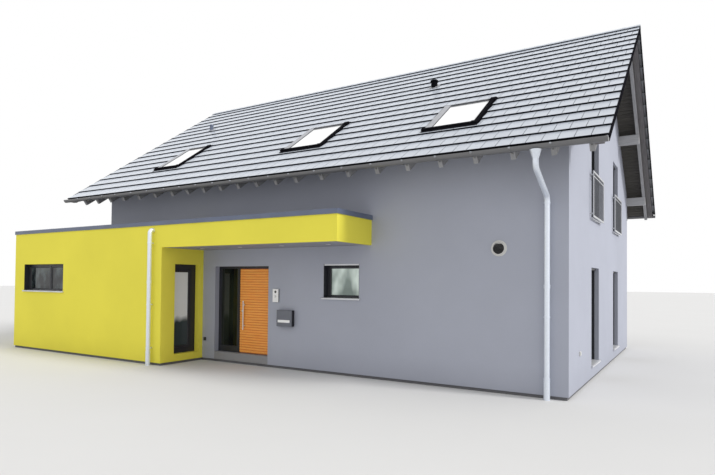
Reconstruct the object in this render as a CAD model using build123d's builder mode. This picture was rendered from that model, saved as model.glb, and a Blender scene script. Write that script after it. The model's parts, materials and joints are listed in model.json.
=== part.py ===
from build123d import *
from collections import namedtuple
from math import cos, degrees, radians, sin, tan
import os

# Detached house of one and a half storeys under a gable roof, with a low flat-roofed annex
# whose roof runs on as a canopy over the entrance. Sizes are in millimetres.
# The origin is on the ground at the centre of the main house. +X runs to the right along the
# entrance front, +Y away from the street, +Z up.

os.makedirs("parts", exist_ok=True)

# How far a cut runs past the faces that it goes through
over_cut = 1

# Main house
house_length = 12800
house_depth = 9500
wall_thickness = 360
plinth_height = 60
plinth_recess = 30
ground_floor_level = 250
upper_floor_level = 3370
upper_floor_thickness = 320

# Roof
roof_pitch = radians(35)
eave_tile_height = 4363
eave_overhang = 900
verge_overhang = 750
tile_thickness = 45
deck_thickness = 60
deck_set_back = 45
rafter_depth = 180
rafter_width = 80
rafter_set_back = 25
rafter_bays = ((8, 664), (7, 556), (3, 638), (3, 560))
gable_rafter_inset = 100
flying_rafter_offset = 490
purlin_width = 160
purlin_depth = 190
mid_purlin_distance = 2530
eave_purlin_depth = 180
eave_purlin_cover = 20
bargeboard_thickness = 130
bargeboard_depth = 150
bargeboard_foot_drop = 123
bargeboard_set_back = 80
verge_lap_thickness = 30
verge_lap_depth = 95
blocking_thickness = 100
ridge_tile_half_width = 130
ridge_tile_thickness = 22
ridge_tile_overhang = 10

# Roof windows and vents
roof_window_length = 1400
roof_window_frame = 95
roof_window_rise = 70
roof_pane_thickness = 24
roof_pane_sunk = 12
roof_window_distance = 2120
flashing_width = 110
flashing_thickness = 6
trimmer_width = 60
cowl_flare = 1.25
cowl_rise = 0.6
cowl_taper = 20

# Rainwater goods
gutter_radius = 68
gutter_thickness = 4
gutter_bead_radius = 9
gutter_drop = 75
gutter_gap = 42
gutter_bracket_width = 30
gutter_bracket_thickness = 5
gutter_bracket_sides = 12
gutter_bracket_drop = 42
gutter_bracket_plate = 44
pipe_radius = 50
pipe_wall = 3
pipe_wall_gap = 55
pipe_bend_radius = 130
annex_bend_radius = 80
annex_pipe_drop = 110
annex_clip_heights = (2900, 1433, 400)
hopper_radius = 95
hopper_height = 150
front_pipe_inset = 345
swan_neck_high = 4090
swan_neck_low = 3560
house_clip_heights = (3440, 1433, 352)
clip_width = 30
clip_thickness = 6

# Annex and canopy
annex_left = -9050
annex_right = -2550
annex_front = -6070
annex_back = -70
annex_wall = 300
annex_top = 3425
annex_roof_top = 3160
annex_ceiling = 2860
coping_bottom = 3340
coping_top = 3440
coping_overhang = 20
canopy_right = 2440
canopy_bottom = 2810
canopy_soffit = 20
fascia_thickness = 60
canopy_upstand = 200
downlight_radius = 55
downlight_depth = 6
downlight_count = 4
annex_pipe_inset = 300

# Windows and doors
frame_width = 50
frame_depth = 80
sash_width = 42
sash_depth = 64
wide_profile = (105, 95)
frame_inset = 140
pane_thickness = 28
sill_height = 45
sill_projection = 40
sill_side = 60
head_height = 2385
tall_sill = 280
upper_sill = 3400
upper_head = 5330
tall_width = 1040
tall_offset = 1790
rear_window_places = (-4400, -1500, 1500, 4400)
entrance_left = -2120
entrance_right = -370
entrance_head = 2390
sidelight_right = -1406
jamb_width = 84
head_jamb = 50
sidelight_rail = 150
door_thickness = 72
door_gap = 6
lock_gap = 10
slat_height = 46
slat_gap = 16
slat_thickness = 14
slat_inset = 6
slat_backing = 5
hinge_radius = 9
hinge_length = 110
hinge_plate = 40
hinge_joint_gap = 0.3
hinge_inset = 200
handle_radius = 15
handle_inset = 150
handle_low = 830
handle_high = 1540
handle_stand_off = 45
handle_post_radius = 10.5
handle_post_inset = 100

# Fittings on the walls
balustrade_width = 1500
balustrade_bottom = 3430
balustrade_top = 4400
balustrade_gap = 60
rail_size = 40
second_rail_drop = 110
bar_radius = 6
bar_spacing = 107
mailbox_size = (440, 120, 380)
mailbox_place = (200, 1180)
mailbox_corner = 12
intercom_size = (175, 40, 310)
intercom_place = (-125, 1695)
intercom_edge = 5
socket_half = 42
socket_depth = 30
front_socket_place = (-2450, 545)
gable_socket_place = (-3711, 716)
wall_vent_radius = 150
wall_vent_bore = 108
wall_vent_depth = 45
wall_vent_back = 8
wall_vent_inset = 1232
wall_vent_height = 2680

# Worked out from the sizes above
half_length = house_length / 2
half_depth = house_depth / 2
inner_x = half_length - wall_thickness
inner_y = half_depth - wall_thickness
roof_slope = tan(roof_pitch)
eave_distance = half_depth + eave_overhang
ridge_height = eave_tile_height + eave_distance * roof_slope
verge_x = half_length + verge_overhang
deck_bottom = tile_thickness + deck_thickness
rafter_bottom = deck_bottom + rafter_depth
floor_top = ground_floor_level

Opening = namedtuple("Opening", "centre width low high")
front_window = Opening(1680, 922, 1640, 2422)
annex_window = Opening(-7566, 1972, 1665, 2455)
annex_mullion = -7170
recess_window = Opening(-5275, 777, 230, 2430)
right_tall = [Opening(side * tall_offset, tall_width, tall_sill, head_height) for side in (-1, 1)]
right_upper = [Opening(side * tall_offset, tall_width, upper_sill, upper_head) for side in (-1, 1)]
left_tall = [right_tall[1]]
left_upper = right_upper
rear_tall = [Opening(x, tall_width, tall_sill, head_height) for x in rear_window_places]


def roof_level(distance, depth):
    """Height at a distance from the ridge, a depth below the tiles' top measured square to the slope."""
    return ridge_height - distance * roof_slope - depth / cos(roof_pitch)


def slope_outline(side, near, far, top, bottom):
    """Corners, in Y and Z, of a layer of the roof between two plumb cuts; side is -1 for the front."""
    return [
        (side * near, roof_level(near, top)),
        (side * far, roof_level(far, top)),
        (side * far, roof_level(far, bottom)),
        (side * near, roof_level(near, bottom)),
    ]


def rafter_tail(depth):
    """Distance from the ridge of the rafters' square-cut end, at a depth below the tiles' top."""
    return eave_distance - rafter_set_back * cos(roof_pitch) - depth * sin(roof_pitch)


def rafter_outline(side):
    """A rafter from the ridge to its square-cut tail."""
    high, low = rafter_tail(deck_bottom), rafter_tail(rafter_bottom)
    return [
        (0, roof_level(0, deck_bottom)),
        (side * high, roof_level(high, deck_bottom)),
        (side * low, roof_level(low, rafter_bottom)),
        (0, roof_level(0, rafter_bottom)),
    ]


def purlin_outline(centre, depth):
    """A purlin whose top is bevelled to the slope it carries; centre is signed in Y."""
    low, high = centre - purlin_width / 2, centre + purlin_width / 2
    foot = roof_level(abs(centre), rafter_bottom) - depth
    top = [(y, roof_level(abs(y), rafter_bottom)) for y in (low, high)]
    if centre == 0:
        top.insert(1, (0, roof_level(0, rafter_bottom)))
    return [(low, foot), *top, (high, foot)]


eave_purlin_centre = half_depth - eave_purlin_cover - purlin_width / 2
purlins = [
    (0, purlin_depth),
    (-mid_purlin_distance, purlin_depth),
    (mid_purlin_distance, purlin_depth),
    (-eave_purlin_centre, eave_purlin_depth),
    (eave_purlin_centre, eave_purlin_depth),
]

# Rafters from the right gable to the left, in groups of like bays; the last stands outside the left gable
gable_rafter = half_length - gable_rafter_inset
inner_rafters = [gable_rafter]
for bay_count, bay_width in rafter_bays:
    for _ in range(bay_count):
        inner_rafters.append(inner_rafters[-1] - bay_width)
flying_rafter = half_length + flying_rafter_offset
all_rafters = [flying_rafter, *inner_rafters]
purlin_right_end = all_rafters[0] + rafter_width / 2
purlin_left_end = all_rafters[-1] - rafter_width / 2

RoofWindow = namedtuple("RoofWindow", "x width")
roof_windows = [RoofWindow(-4300, 940), RoofWindow(370, 1140), RoofWindow(4080, 1140)]


def slope_plane(x, distance, height):
    """Plane on the front slope, at a distance up from the eave and a height above the tiles."""
    return Plane(
        origin=(
            x,
            -eave_distance + distance * cos(roof_pitch),
            eave_tile_height + distance * sin(roof_pitch),
        ),
        x_dir=(1, 0, 0),
        z_dir=(0, -sin(roof_pitch), cos(roof_pitch)),
    ).offset(height)


def save(piece, label):
    """Names a finished piece and writes it."""
    piece.part.label = label
    export_step(piece.part, f"parts/{label}.step")


def block(low, high, mode=Mode.ADD):
    """A plain block between two corners."""
    size = [b - a for a, b in zip(low, high)]
    middle = [(a + b) / 2 for a, b in zip(low, high)]
    with Locations(tuple(middle)):
        Box(*size, mode=mode)


def prism_x(outline, start, end, mode=Mode.ADD):
    """Extrudes an outline in Y and Z from one X to another."""
    with BuildSketch(Plane.YZ.offset(start)) as face:
        Polygon(*outline)
    extrude(face.sketch, amount=end - start, mode=mode)


def hole_in_front(opening, outer_y, thickness):
    """Cuts a window's hole through a wall that faces -Y; outer_y is its outer face."""
    block(
        (opening.centre - opening.width / 2, outer_y - over_cut, opening.low),
        (opening.centre + opening.width / 2, outer_y + thickness + over_cut, opening.high),
        Mode.SUBTRACT,
    )


def hole_in_side(opening, outer_x, thickness):
    """Cuts a window's hole through a wall from its outer face at outer_x towards -X."""
    block(
        (outer_x - thickness - over_cut, opening.centre - opening.width / 2, opening.low),
        (outer_x + over_cut, opening.centre + opening.width / 2, opening.high),
        Mode.SUBTRACT,
    )


def window_frame(plane, opening, mullion=None, profile=(frame_width, sash_width)):
    """Frame and sash of a window; the plane lies in the wall's outer face and looks out of it."""
    frame, wing = profile
    height = opening.high - opening.low
    middle = (opening.centre, (opening.low + opening.high) / 2)
    bars = [] if mullion is None else [mullion]
    edge = 2 * frame
    with BuildSketch(plane.offset(-frame_inset)) as ring:
        with Locations(middle):
            Rectangle(opening.width, height)
            Rectangle(opening.width - edge, height - edge, mode=Mode.SUBTRACT)
        for bar in bars:
            with Locations((bar, middle[1])):
                Rectangle(frame, height)
    extrude(ring.sketch, amount=-frame_depth)
    sides = [opening.centre - opening.width / 2, *bars, opening.centre + opening.width / 2]
    for n, (left, right) in enumerate(zip(sides, sides[1:])):
        left += frame if n == 0 else frame / 2
        right -= frame if n == len(sides) - 2 else frame / 2
        with BuildSketch(plane.offset(-frame_inset - (frame_depth - sash_depth) / 2)) as sash:
            with Locations(((left + right) / 2, middle[1])):
                Rectangle(right - left, height - edge)
                Rectangle(right - left - 2 * wing, height - edge - 2 * wing, mode=Mode.SUBTRACT)
        extrude(sash.sketch, amount=-sash_depth)


def window_pane(plane, opening, mullion=None, profile=(frame_width, sash_width)):
    """Glass of a window, seated in its sash."""
    frame, wing = profile
    height = opening.high - opening.low - 2 * (frame + wing)
    middle_z = (opening.low + opening.high) / 2
    bars = [] if mullion is None else [mullion]
    sides = [opening.centre - opening.width / 2, *bars, opening.centre + opening.width / 2]
    for n, (left, right) in enumerate(zip(sides, sides[1:])):
        left += wing + (frame if n == 0 else frame / 2)
        right -= wing + (frame if n == len(sides) - 2 else frame / 2)
        with BuildSketch(plane.offset(-frame_inset - (frame_depth - pane_thickness) / 2)) as glass:
            with Locations(((left + right) / 2, middle_z)):
                Rectangle(right - left, height)
        extrude(glass.sketch, amount=-pane_thickness)


front_face = Plane.XZ.offset(half_depth)
annex_face = Plane.XZ.offset(-annex_front)
right_face = Plane.YZ.offset(half_length)
recess_face = Plane.YZ.offset(annex_right)
rear_face = Plane(origin=(0, half_depth, 0), x_dir=(-1, 0, 0), z_dir=(0, 1, 0))
left_face = Plane(origin=(-half_length, 0, 0), x_dir=(0, -1, 0), z_dir=(-1, 0, 0))


def turned(opening):
    """The same opening for a face whose sketch runs the other way."""
    return opening._replace(centre=-opening.centre)



# Plinths and floors
def annex_outline(inset):
    """The annex's L shape in X and Y, its free sides moved in by an inset."""
    return [
        (annex_left + inset, annex_front + inset),
        (annex_right - inset, annex_front + inset),
        (annex_right - inset, -half_depth),
        (-half_length, -half_depth),
        (-half_length, annex_back - inset),
        (annex_left + inset, annex_back - inset),
    ]


with BuildPart() as plinth:
    with BuildSketch():
        Rectangle(house_length - 2 * plinth_recess, house_depth - 2 * plinth_recess)
        Rectangle(2 * inner_x, 2 * inner_y, mode=Mode.SUBTRACT)
        Polygon(*annex_outline(plinth_recess))
        Polygon(*annex_outline(annex_wall), mode=Mode.SUBTRACT)
    extrude(amount=plinth_height)
save(plinth, "plinth")

with BuildPart() as ground_floor:
    with BuildSketch():
        Rectangle(2 * inner_x, 2 * inner_y)
        Polygon(*annex_outline(annex_wall))
    extrude(amount=floor_top)
save(ground_floor, "ground_floor")

with BuildPart() as upper_floor:
    with BuildSketch(Plane.XY.offset(upper_floor_level - upper_floor_thickness)):
        Rectangle(2 * inner_x, 2 * inner_y)
    extrude(amount=upper_floor_thickness)
save(upper_floor, "upper_floor")


# House walls
def long_wall_outline(side):
    """Section of a wall under an eave, from the plinth to the rafters."""
    return [
        (side * half_depth, plinth_height),
        (side * half_depth, roof_level(half_depth, rafter_bottom)),
        (side * inner_y, roof_level(inner_y, rafter_bottom)),
        (side * inner_y, plinth_height),
    ]


with BuildPart() as front_wall_left:
    prism_x(long_wall_outline(-1), -inner_x, entrance_left)
    prism_x(purlin_outline(-eave_purlin_centre, eave_purlin_depth), -inner_x, entrance_left, Mode.SUBTRACT)
save(front_wall_left, "front_wall_left")

with BuildPart() as front_wall_right:
    prism_x(long_wall_outline(-1), entrance_right, inner_x)
    prism_x(purlin_outline(-eave_purlin_centre, eave_purlin_depth), entrance_right, inner_x, Mode.SUBTRACT)
    hole_in_front(front_window, -half_depth, wall_thickness)
save(front_wall_right, "front_wall_right")

with BuildPart() as front_wall_over_door:
    prism_x(long_wall_outline(-1), entrance_left, entrance_right)
    eave_purlin = purlin_outline(-eave_purlin_centre, eave_purlin_depth)
    prism_x(eave_purlin, entrance_left, entrance_right, Mode.SUBTRACT)
    block(
        (entrance_left, -half_depth, plinth_height),
        (entrance_right, -inner_y, entrance_head),
        Mode.SUBTRACT,
    )
save(front_wall_over_door, "front_wall_over_door")

with BuildPart() as rear_wall:
    prism_x(long_wall_outline(1), -inner_x, inner_x)
    prism_x(purlin_outline(eave_purlin_centre, eave_purlin_depth), -inner_x, inner_x, Mode.SUBTRACT)
    for opening in rear_tall:
        hole_in_front(opening, inner_y, wall_thickness)
save(rear_wall, "rear_wall")


def gable_wall(side, openings):
    """A gable wall up to the roof deck, cut for purlins, windows and, on the right, the gable rafters."""
    low, high = sorted((side * inner_x, side * half_length))
    with BuildPart() as wall:
        prism_x(
            [
                (-half_depth, plinth_height),
                (-half_depth, roof_level(half_depth, deck_bottom)),
                (0, roof_level(0, deck_bottom)),
                (half_depth, roof_level(half_depth, deck_bottom)),
                (half_depth, plinth_height),
            ],
            low,
            high,
        )
        if side > 0:
            pocket = (gable_rafter - rafter_width / 2, gable_rafter + rafter_width / 2)
            for slope in (-1, 1):
                prism_x(rafter_outline(slope), *pocket, Mode.SUBTRACT)
        for centre, depth in purlins:
            prism_x(purlin_outline(centre, depth), low, high, Mode.SUBTRACT)
        for opening in openings:
            hole_in_side(opening, high, wall_thickness)
    return wall


right_gable_wall = gable_wall(1, right_tall + right_upper)
save(right_gable_wall, "right_gable_wall")
left_gable_wall = gable_wall(-1, left_tall + left_upper)
save(left_gable_wall, "left_gable_wall")

# Annex walls
with BuildPart() as annex_front_wall:
    block((annex_left, annex_front, plinth_height), (annex_right, annex_front + annex_wall, annex_top))
    hole_in_front(annex_window, annex_front, annex_wall)
save(annex_front_wall, "annex_front_wall")

with BuildPart() as annex_left_wall:
    block(
        (annex_left, annex_front + annex_wall, plinth_height),
        (annex_left + annex_wall, annex_back - annex_wall, annex_top),
    )
save(annex_left_wall, "annex_left_wall")

with BuildPart() as annex_rear_wall:
    block((annex_left, annex_back - annex_wall, plinth_height), (-half_length, annex_back, annex_top))
save(annex_rear_wall, "annex_rear_wall")

with BuildPart() as annex_right_wall:
    block(
        (annex_right - annex_wall, annex_front + annex_wall, plinth_height),
        (annex_right, -half_depth, annex_roof_top),
    )
    hole_in_side(recess_window, annex_right, annex_wall)
save(annex_right_wall, "annex_right_wall")

with BuildPart() as annex_roof:
    with BuildSketch(Plane.XY.offset(annex_ceiling)):
        Polygon(*annex_outline(annex_wall))
    extrude(amount=annex_roof_top - annex_ceiling)
save(annex_roof, "annex_roof")

# Canopy: a slab with an upstand, faced by a rendered fascia and closed below by a soffit
canopy_inner = canopy_right - fascia_thickness
canopy_front = annex_front + fascia_thickness
with BuildPart() as canopy_slab:
    block(
        (annex_right, canopy_front, canopy_bottom + canopy_soffit),
        (canopy_inner, -half_depth, annex_top),
    )
    block(
        (annex_right, canopy_front + canopy_upstand, annex_roof_top),
        (canopy_inner - canopy_upstand, -half_depth, annex_top),
        Mode.SUBTRACT,
    )
save(canopy_slab, "canopy_slab")

with BuildPart() as canopy_fascia:
    with BuildSketch(Plane.XY.offset(canopy_bottom)):
        Polygon(
            (annex_right, annex_front),
            (canopy_right, annex_front),
            (canopy_right, -half_depth),
            (canopy_inner, -half_depth),
            (canopy_inner, canopy_front),
            (annex_right, canopy_front),
        )
    extrude(amount=annex_top - canopy_bottom)
save(canopy_fascia, "canopy_fascia")

with BuildPart() as canopy_ceiling:
    block(
        (annex_right, canopy_front, canopy_bottom),
        (canopy_inner, -half_depth, canopy_bottom + canopy_soffit),
    )
save(canopy_ceiling, "canopy_ceiling")

light_span = canopy_inner - annex_right
with BuildPart() as downlights:
    for n in range(downlight_count):
        place = annex_right + light_span * (n + 0.5) / downlight_count
        with Locations((place, (canopy_front - half_depth) / 2, canopy_bottom - downlight_depth / 2)):
            Cylinder(downlight_radius, downlight_depth)
save(downlights, "canopy_downlights")

coping_inner = annex_wall + coping_overhang
with BuildPart() as roof_coping:
    with BuildSketch(Plane.XY.offset(coping_bottom)):
        Polygon(
            (annex_left - coping_overhang, annex_front - coping_overhang),
            (canopy_right + coping_overhang, annex_front - coping_overhang),
            (canopy_right + coping_overhang, -half_depth),
            (canopy_right - coping_inner, -half_depth),
            (canopy_right - coping_inner, annex_front + coping_inner),
            (annex_left + coping_inner, annex_front + coping_inner),
            (annex_left + coping_inner, annex_back - coping_inner),
            (-half_length, annex_back - coping_inner),
            (-half_length, annex_back + coping_overhang),
            (annex_left - coping_overhang, annex_back + coping_overhang),
        )
    extrude(amount=coping_top - coping_bottom)
    with BuildSketch(Plane.XY.offset(coping_bottom)):
        Polygon(
            (annex_left, annex_front),
            (canopy_right, annex_front),
            (canopy_right, -half_depth),
            (canopy_right - annex_wall, -half_depth),
            (canopy_right - annex_wall, annex_front + annex_wall),
            (annex_left + annex_wall, annex_front + annex_wall),
            (annex_left + annex_wall, annex_back - annex_wall),
            (-half_length, annex_back - annex_wall),
            (-half_length, annex_back),
            (annex_left, annex_back),
        )
    extrude(amount=annex_top - coping_bottom, mode=Mode.SUBTRACT)
save(roof_coping, "roof_coping")

# Roof timbers
with BuildPart() as purlin_set:
    for centre, depth in purlins:
        prism_x(purlin_outline(centre, depth), purlin_left_end, purlin_right_end)
save(purlin_set, "purlins")


def window_bay(window):
    """Faces, in X, of the nearest rafters that stand clear of a roof window on its left and right."""
    reach = (window.width + rafter_width) / 2
    left = max(x for x in inner_rafters if x <= window.x - reach)
    right = min(x for x in inner_rafters if x >= window.x + reach)
    return left + rafter_width / 2, right - rafter_width / 2


def rafter_set(side):
    """All rafters of one slope; the front ones are cut for the roof windows and their trimmers."""
    with BuildPart() as rafters:
        for x in all_rafters:
            prism_x(rafter_outline(side), x - rafter_width / 2, x + rafter_width / 2)
        if side < 0:
            for window in roof_windows:
                left, right = window_bay(window)
                with BuildSketch(slope_plane((left + right) / 2, roof_window_distance, 0)) as shaft:
                    Rectangle(right - left, roof_window_length + 2 * trimmer_width)
                extrude(shaft.sketch, amount=-(rafter_bottom + over_cut), mode=Mode.SUBTRACT)
    return rafters


front_rafters = rafter_set(-1)
save(front_rafters, "front_rafters")
rear_rafters = rafter_set(1)
save(rear_rafters, "rear_rafters")

with BuildPart() as rafter_blocking:
    for window in roof_windows:
        left, right = window_bay(window)
        for end in (-1, 1):
            away = end * (roof_window_length + trimmer_width) / 2
            middle = slope_plane((left + right) / 2, roof_window_distance + away, -deck_bottom)
            with BuildSketch(middle) as bar:
                Rectangle(right - left, trimmer_width)
            extrude(bar.sketch, amount=-rafter_depth)
    bays = sorted(inner_rafters)
    for side in (-1, 1):
        outline = slope_outline(side, half_depth - blocking_thickness, half_depth, deck_bottom, rafter_bottom)
        for left, right in zip(bays, bays[1:]):
            start = max(left + rafter_width / 2, -inner_x)
            end = min(right - rafter_width / 2, inner_x)
            prism_x(outline, start, end)
save(rafter_blocking, "rafter_blocking")

# Roof deck, tiles and verge
deck_half = verge_x - bargeboard_set_back - bargeboard_thickness
deck_end = eave_distance - deck_set_back


def roof_sheet(side, top, bottom, half_width, end):
    """One layer of one slope, cut for the roof windows on the front."""
    with BuildPart() as sheet:
        prism_x(slope_outline(side, 0, end, top, bottom), -half_width, half_width)
        if side < 0:
            for window in roof_windows:
                with BuildSketch(slope_plane(window.x, roof_window_distance, over_cut)) as hole:
                    Rectangle(window.width, roof_window_length)
                extrude(hole.sketch, amount=-(bottom + 2 * over_cut), mode=Mode.SUBTRACT)
    return sheet


front_deck = roof_sheet(-1, tile_thickness, deck_bottom, deck_half, deck_end)
save(front_deck, "front_roof_deck")
rear_deck = roof_sheet(1, tile_thickness, deck_bottom, deck_half, deck_end)
save(rear_deck, "rear_roof_deck")


def tile_covering(side):
    """The tile layer of one slope with its verge laps."""
    with BuildPart() as tiles:
        prism_x(slope_outline(side, 0, eave_distance, 0, tile_thickness), -verge_x, verge_x)
        for end in (-1, 1):
            start, stop = sorted((end * verge_x, end * (verge_x - verge_lap_thickness)))
            lap = slope_outline(side, 0, deck_end, tile_thickness, tile_thickness + verge_lap_depth)
            prism_x(lap, start, stop)
        if side < 0:
            for window in roof_windows:
                with BuildSketch(slope_plane(window.x, roof_window_distance, over_cut)) as hole:
                    Rectangle(window.width, roof_window_length)
                extrude(hole.sketch, amount=-(tile_thickness + 2 * over_cut), mode=Mode.SUBTRACT)
    return tiles


front_tiles = tile_covering(-1)
save(front_tiles, "front_roof_tiles")
rear_tiles = tile_covering(1)
save(rear_tiles, "rear_roof_tiles")

with BuildPart() as ridge_tiles:
    ridge_foot = ridge_tile_half_width
    prism_x(
        [
            (-ridge_foot, roof_level(ridge_foot, 0)),
            (0, ridge_height),
            (ridge_foot, roof_level(ridge_foot, 0)),
            (ridge_foot, roof_level(ridge_foot, -ridge_tile_thickness)),
            (0, roof_level(0, -ridge_tile_thickness)),
            (-ridge_foot, roof_level(ridge_foot, -ridge_tile_thickness)),
        ],
        -verge_x - ridge_tile_overhang,
        verge_x + ridge_tile_overhang,
    )
save(ridge_tiles, "ridge_tiles")


def bargeboard_outline(side):
    """A bargeboard under the tiles, plumb at its end and cut level above the gutter's foot."""
    foot = tile_thickness + bargeboard_depth
    level = eave_tile_height - bargeboard_foot_drop
    heel = (ridge_height - level - foot / cos(roof_pitch)) / roof_slope
    return [
        (0, roof_level(0, tile_thickness)),
        (side * deck_end, roof_level(deck_end, tile_thickness)),
        (side * deck_end, level),
        (side * heel, level),
        (0, roof_level(0, foot)),
    ]


with BuildPart() as bargeboards:
    for end in (-1, 1):
        start, stop = sorted((end * deck_half, end * (deck_half + bargeboard_thickness)))
        for side in (-1, 1):
            prism_x(bargeboard_outline(side), start, stop)
save(bargeboards, "bargeboards")

# Roof windows
with BuildPart() as roof_window_frames:
    for window in roof_windows:
        with BuildSketch(slope_plane(window.x, roof_window_distance, -deck_bottom)) as ring:
            Rectangle(window.width, roof_window_length)
            Rectangle(
                window.width - 2 * roof_window_frame,
                roof_window_length - 2 * roof_window_frame,
                mode=Mode.SUBTRACT,
            )
        extrude(ring.sketch, amount=deck_bottom + roof_window_rise)
        with BuildSketch(slope_plane(window.x, roof_window_distance, 0)) as apron:
            Rectangle(window.width + 2 * flashing_width, roof_window_length + 2 * flashing_width)
            Rectangle(window.width, roof_window_length, mode=Mode.SUBTRACT)
        extrude(apron.sketch, amount=flashing_thickness)
save(roof_window_frames, "roof_window_frames")

with BuildPart() as roof_window_panes:
    for window in roof_windows:
        level = roof_window_rise - roof_pane_sunk
        with BuildSketch(slope_plane(window.x, roof_window_distance, level)) as glass:
            Rectangle(window.width - 2 * roof_window_frame, roof_window_length - 2 * roof_window_frame)
        extrude(glass.sketch, amount=-roof_pane_thickness)
save(roof_window_panes, "roof_window_panes")

RoofVent = namedtuple("RoofVent", "x distance radius height")
roof_vents = [RoofVent(-5315, 4570, 55, 150), RoofVent(2555, 4710, 80, 140)]
with BuildPart() as vent_set:
    for vent in roof_vents:
        base = slope_plane(vent.x, vent.distance, 0).origin
        with BuildSketch(Plane(origin=(vent.x, base.Y, base.Z - vent.radius), z_dir=(0, 0, 1))) as pipe:
            Circle(vent.radius)
        extrude(pipe.sketch, amount=vent.height + vent.radius)
        with BuildSketch(Plane(origin=(vent.x, base.Y, base.Z + vent.height), z_dir=(0, 0, 1))) as cap:
            Circle(vent.radius * cowl_flare)
        extrude(cap.sketch, amount=vent.radius * cowl_rise, taper=cowl_taper)
    prism_x(slope_outline(-1, 0, eave_distance, 0, rafter_bottom), -verge_x, verge_x, Mode.SUBTRACT)
save(vent_set, "roof_vents")

# Rainwater goods
gutter_y = eave_distance + gutter_gap
gutter_z = eave_tile_height - gutter_drop

with BuildPart() as gutters:
    for side in (-1, 1):
        middle = (side * gutter_y, gutter_z)
        front_rim = (side * (gutter_y + gutter_radius - gutter_bead_radius), gutter_z)
        for start, length, hollow in (
            (-verge_x, gutter_thickness, False),
            (-verge_x + gutter_thickness, 2 * (verge_x - gutter_thickness), True),
            (verge_x - gutter_thickness, gutter_thickness, False),
        ):
            with BuildSketch(Plane.YZ.offset(start)) as section:
                with Locations(middle):
                    Circle(gutter_radius)
                    if hollow:
                        Circle(gutter_radius - gutter_thickness, mode=Mode.SUBTRACT)
                with Locations((middle[0], gutter_z + gutter_radius)):
                    Rectangle(4 * gutter_radius, 2 * gutter_radius, mode=Mode.SUBTRACT)
                with Locations(front_rim):
                    Circle(gutter_bead_radius)
            extrude(section.sketch, amount=length)
save(gutters, "gutters")

# Brackets: folded strap under the gutter, arm back to the rafter's end and plate screwed to it
strap_level = gutter_z - gutter_bracket_drop
strap_outside = gutter_radius + gutter_bracket_thickness
plate_depth = deck_bottom + (roof_level(rafter_tail(deck_bottom), deck_bottom) - strap_level) / cos(roof_pitch)
plate_middle = rafter_tail(plate_depth) + gutter_bracket_thickness / 2 * cos(roof_pitch)
plate_level = strap_level - gutter_bracket_thickness / 2 * sin(roof_pitch)
with BuildPart() as gutter_brackets:
    for side in (-1, 1):
        for x in all_rafters:
            with BuildSketch(Plane.YZ.offset(x - gutter_bracket_width / 2)) as strap:
                with Locations((side * gutter_y, gutter_z)):
                    RegularPolygon(strap_outside, gutter_bracket_sides, major_radius=False)
                arm = gutter_y - plate_middle
                with Locations((side * (plate_middle + arm / 2), strap_level)):
                    Rectangle(arm, gutter_bracket_thickness)
                with Locations(Location((side * plate_middle, plate_level), -side * degrees(roof_pitch))):
                    Rectangle(gutter_bracket_thickness, gutter_bracket_plate)
                Polygon(*rafter_outline(side), mode=Mode.SUBTRACT)
                with Locations((side * gutter_y, gutter_z)):
                    RegularPolygon(gutter_radius, gutter_bracket_sides, major_radius=False, mode=Mode.SUBTRACT)
                with Locations((side * gutter_y, gutter_z + gutter_radius)):
                    Rectangle(4 * gutter_radius, 2 * gutter_radius, mode=Mode.SUBTRACT)
            extrude(strap.sketch, amount=gutter_bracket_width)
save(gutter_brackets, "gutter_brackets")

pipe_y = half_depth + pipe_wall_gap + pipe_radius
annex_pipe_x = annex_right - annex_pipe_inset
annex_pipe_y = annex_front - pipe_wall_gap - pipe_radius
house_pipe_x = half_length - front_pipe_inset


def downpipe(side):
    """Round pipe from a hopper under the gutter, by a swan neck, down the wall to the ground."""
    outlet = gutter_z - gutter_radius
    with BuildPart() as pipe:
        with BuildLine():
            FilletPolyline(
                (house_pipe_x, side * gutter_y, outlet - hopper_height),
                (house_pipe_x, side * gutter_y, swan_neck_high - hopper_height),
                (house_pipe_x, side * pipe_y, swan_neck_low),
                (house_pipe_x, side * pipe_y, 0),
                radius=pipe_bend_radius,
            )
        mouth = Plane(origin=(house_pipe_x, side * gutter_y, outlet), z_dir=(0, 0, -1))
        with BuildSketch(mouth.offset(hopper_height)):
            Circle(pipe_radius)
            Circle(pipe_radius - pipe_wall, mode=Mode.SUBTRACT)
        sweep()
        with BuildSketch(mouth):
            Circle(hopper_radius)
        with BuildSketch(mouth.offset(hopper_height)):
            Circle(pipe_radius)
        loft()
    return pipe


def annex_downpipe():
    """Round pipe that leaves the annex wall under the coping by a bend and runs down to the ground."""
    top = coping_bottom - annex_pipe_drop
    with BuildPart() as pipe:
        with BuildLine():
            FilletPolyline(
                (annex_pipe_x, annex_pipe_y, 0),
                (annex_pipe_x, annex_pipe_y, top),
                (annex_pipe_x, annex_front, top),
                radius=annex_bend_radius,
            )
        with BuildSketch(Plane(origin=(annex_pipe_x, annex_pipe_y, 0))):
            Circle(pipe_radius)
            Circle(pipe_radius - pipe_wall, mode=Mode.SUBTRACT)
        sweep()
    return pipe


with BuildPart() as downpipes:
    for side in (-1, 1):
        add(downpipe(side).part)
    add(annex_downpipe().part)
save(downpipes, "downpipes")

with BuildPart() as pipe_clips:
    clips = [(house_pipe_x, side * pipe_y, side * half_depth, z) for side in (-1, 1) for z in house_clip_heights]
    clips += [(annex_pipe_x, annex_pipe_y, annex_front, z) for z in annex_clip_heights]
    for x, y, wall, z in clips:
        with BuildSketch(Plane(origin=(x, y, z))) as ring:
            Circle(pipe_radius + clip_thickness)
            with Locations((0, (wall - y) / 2)):
                Rectangle(clip_width, abs(wall - y))
            Circle(pipe_radius, mode=Mode.SUBTRACT)
        extrude(ring.sketch, amount=clip_width)
save(pipe_clips, "downpipe_clips")

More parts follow.
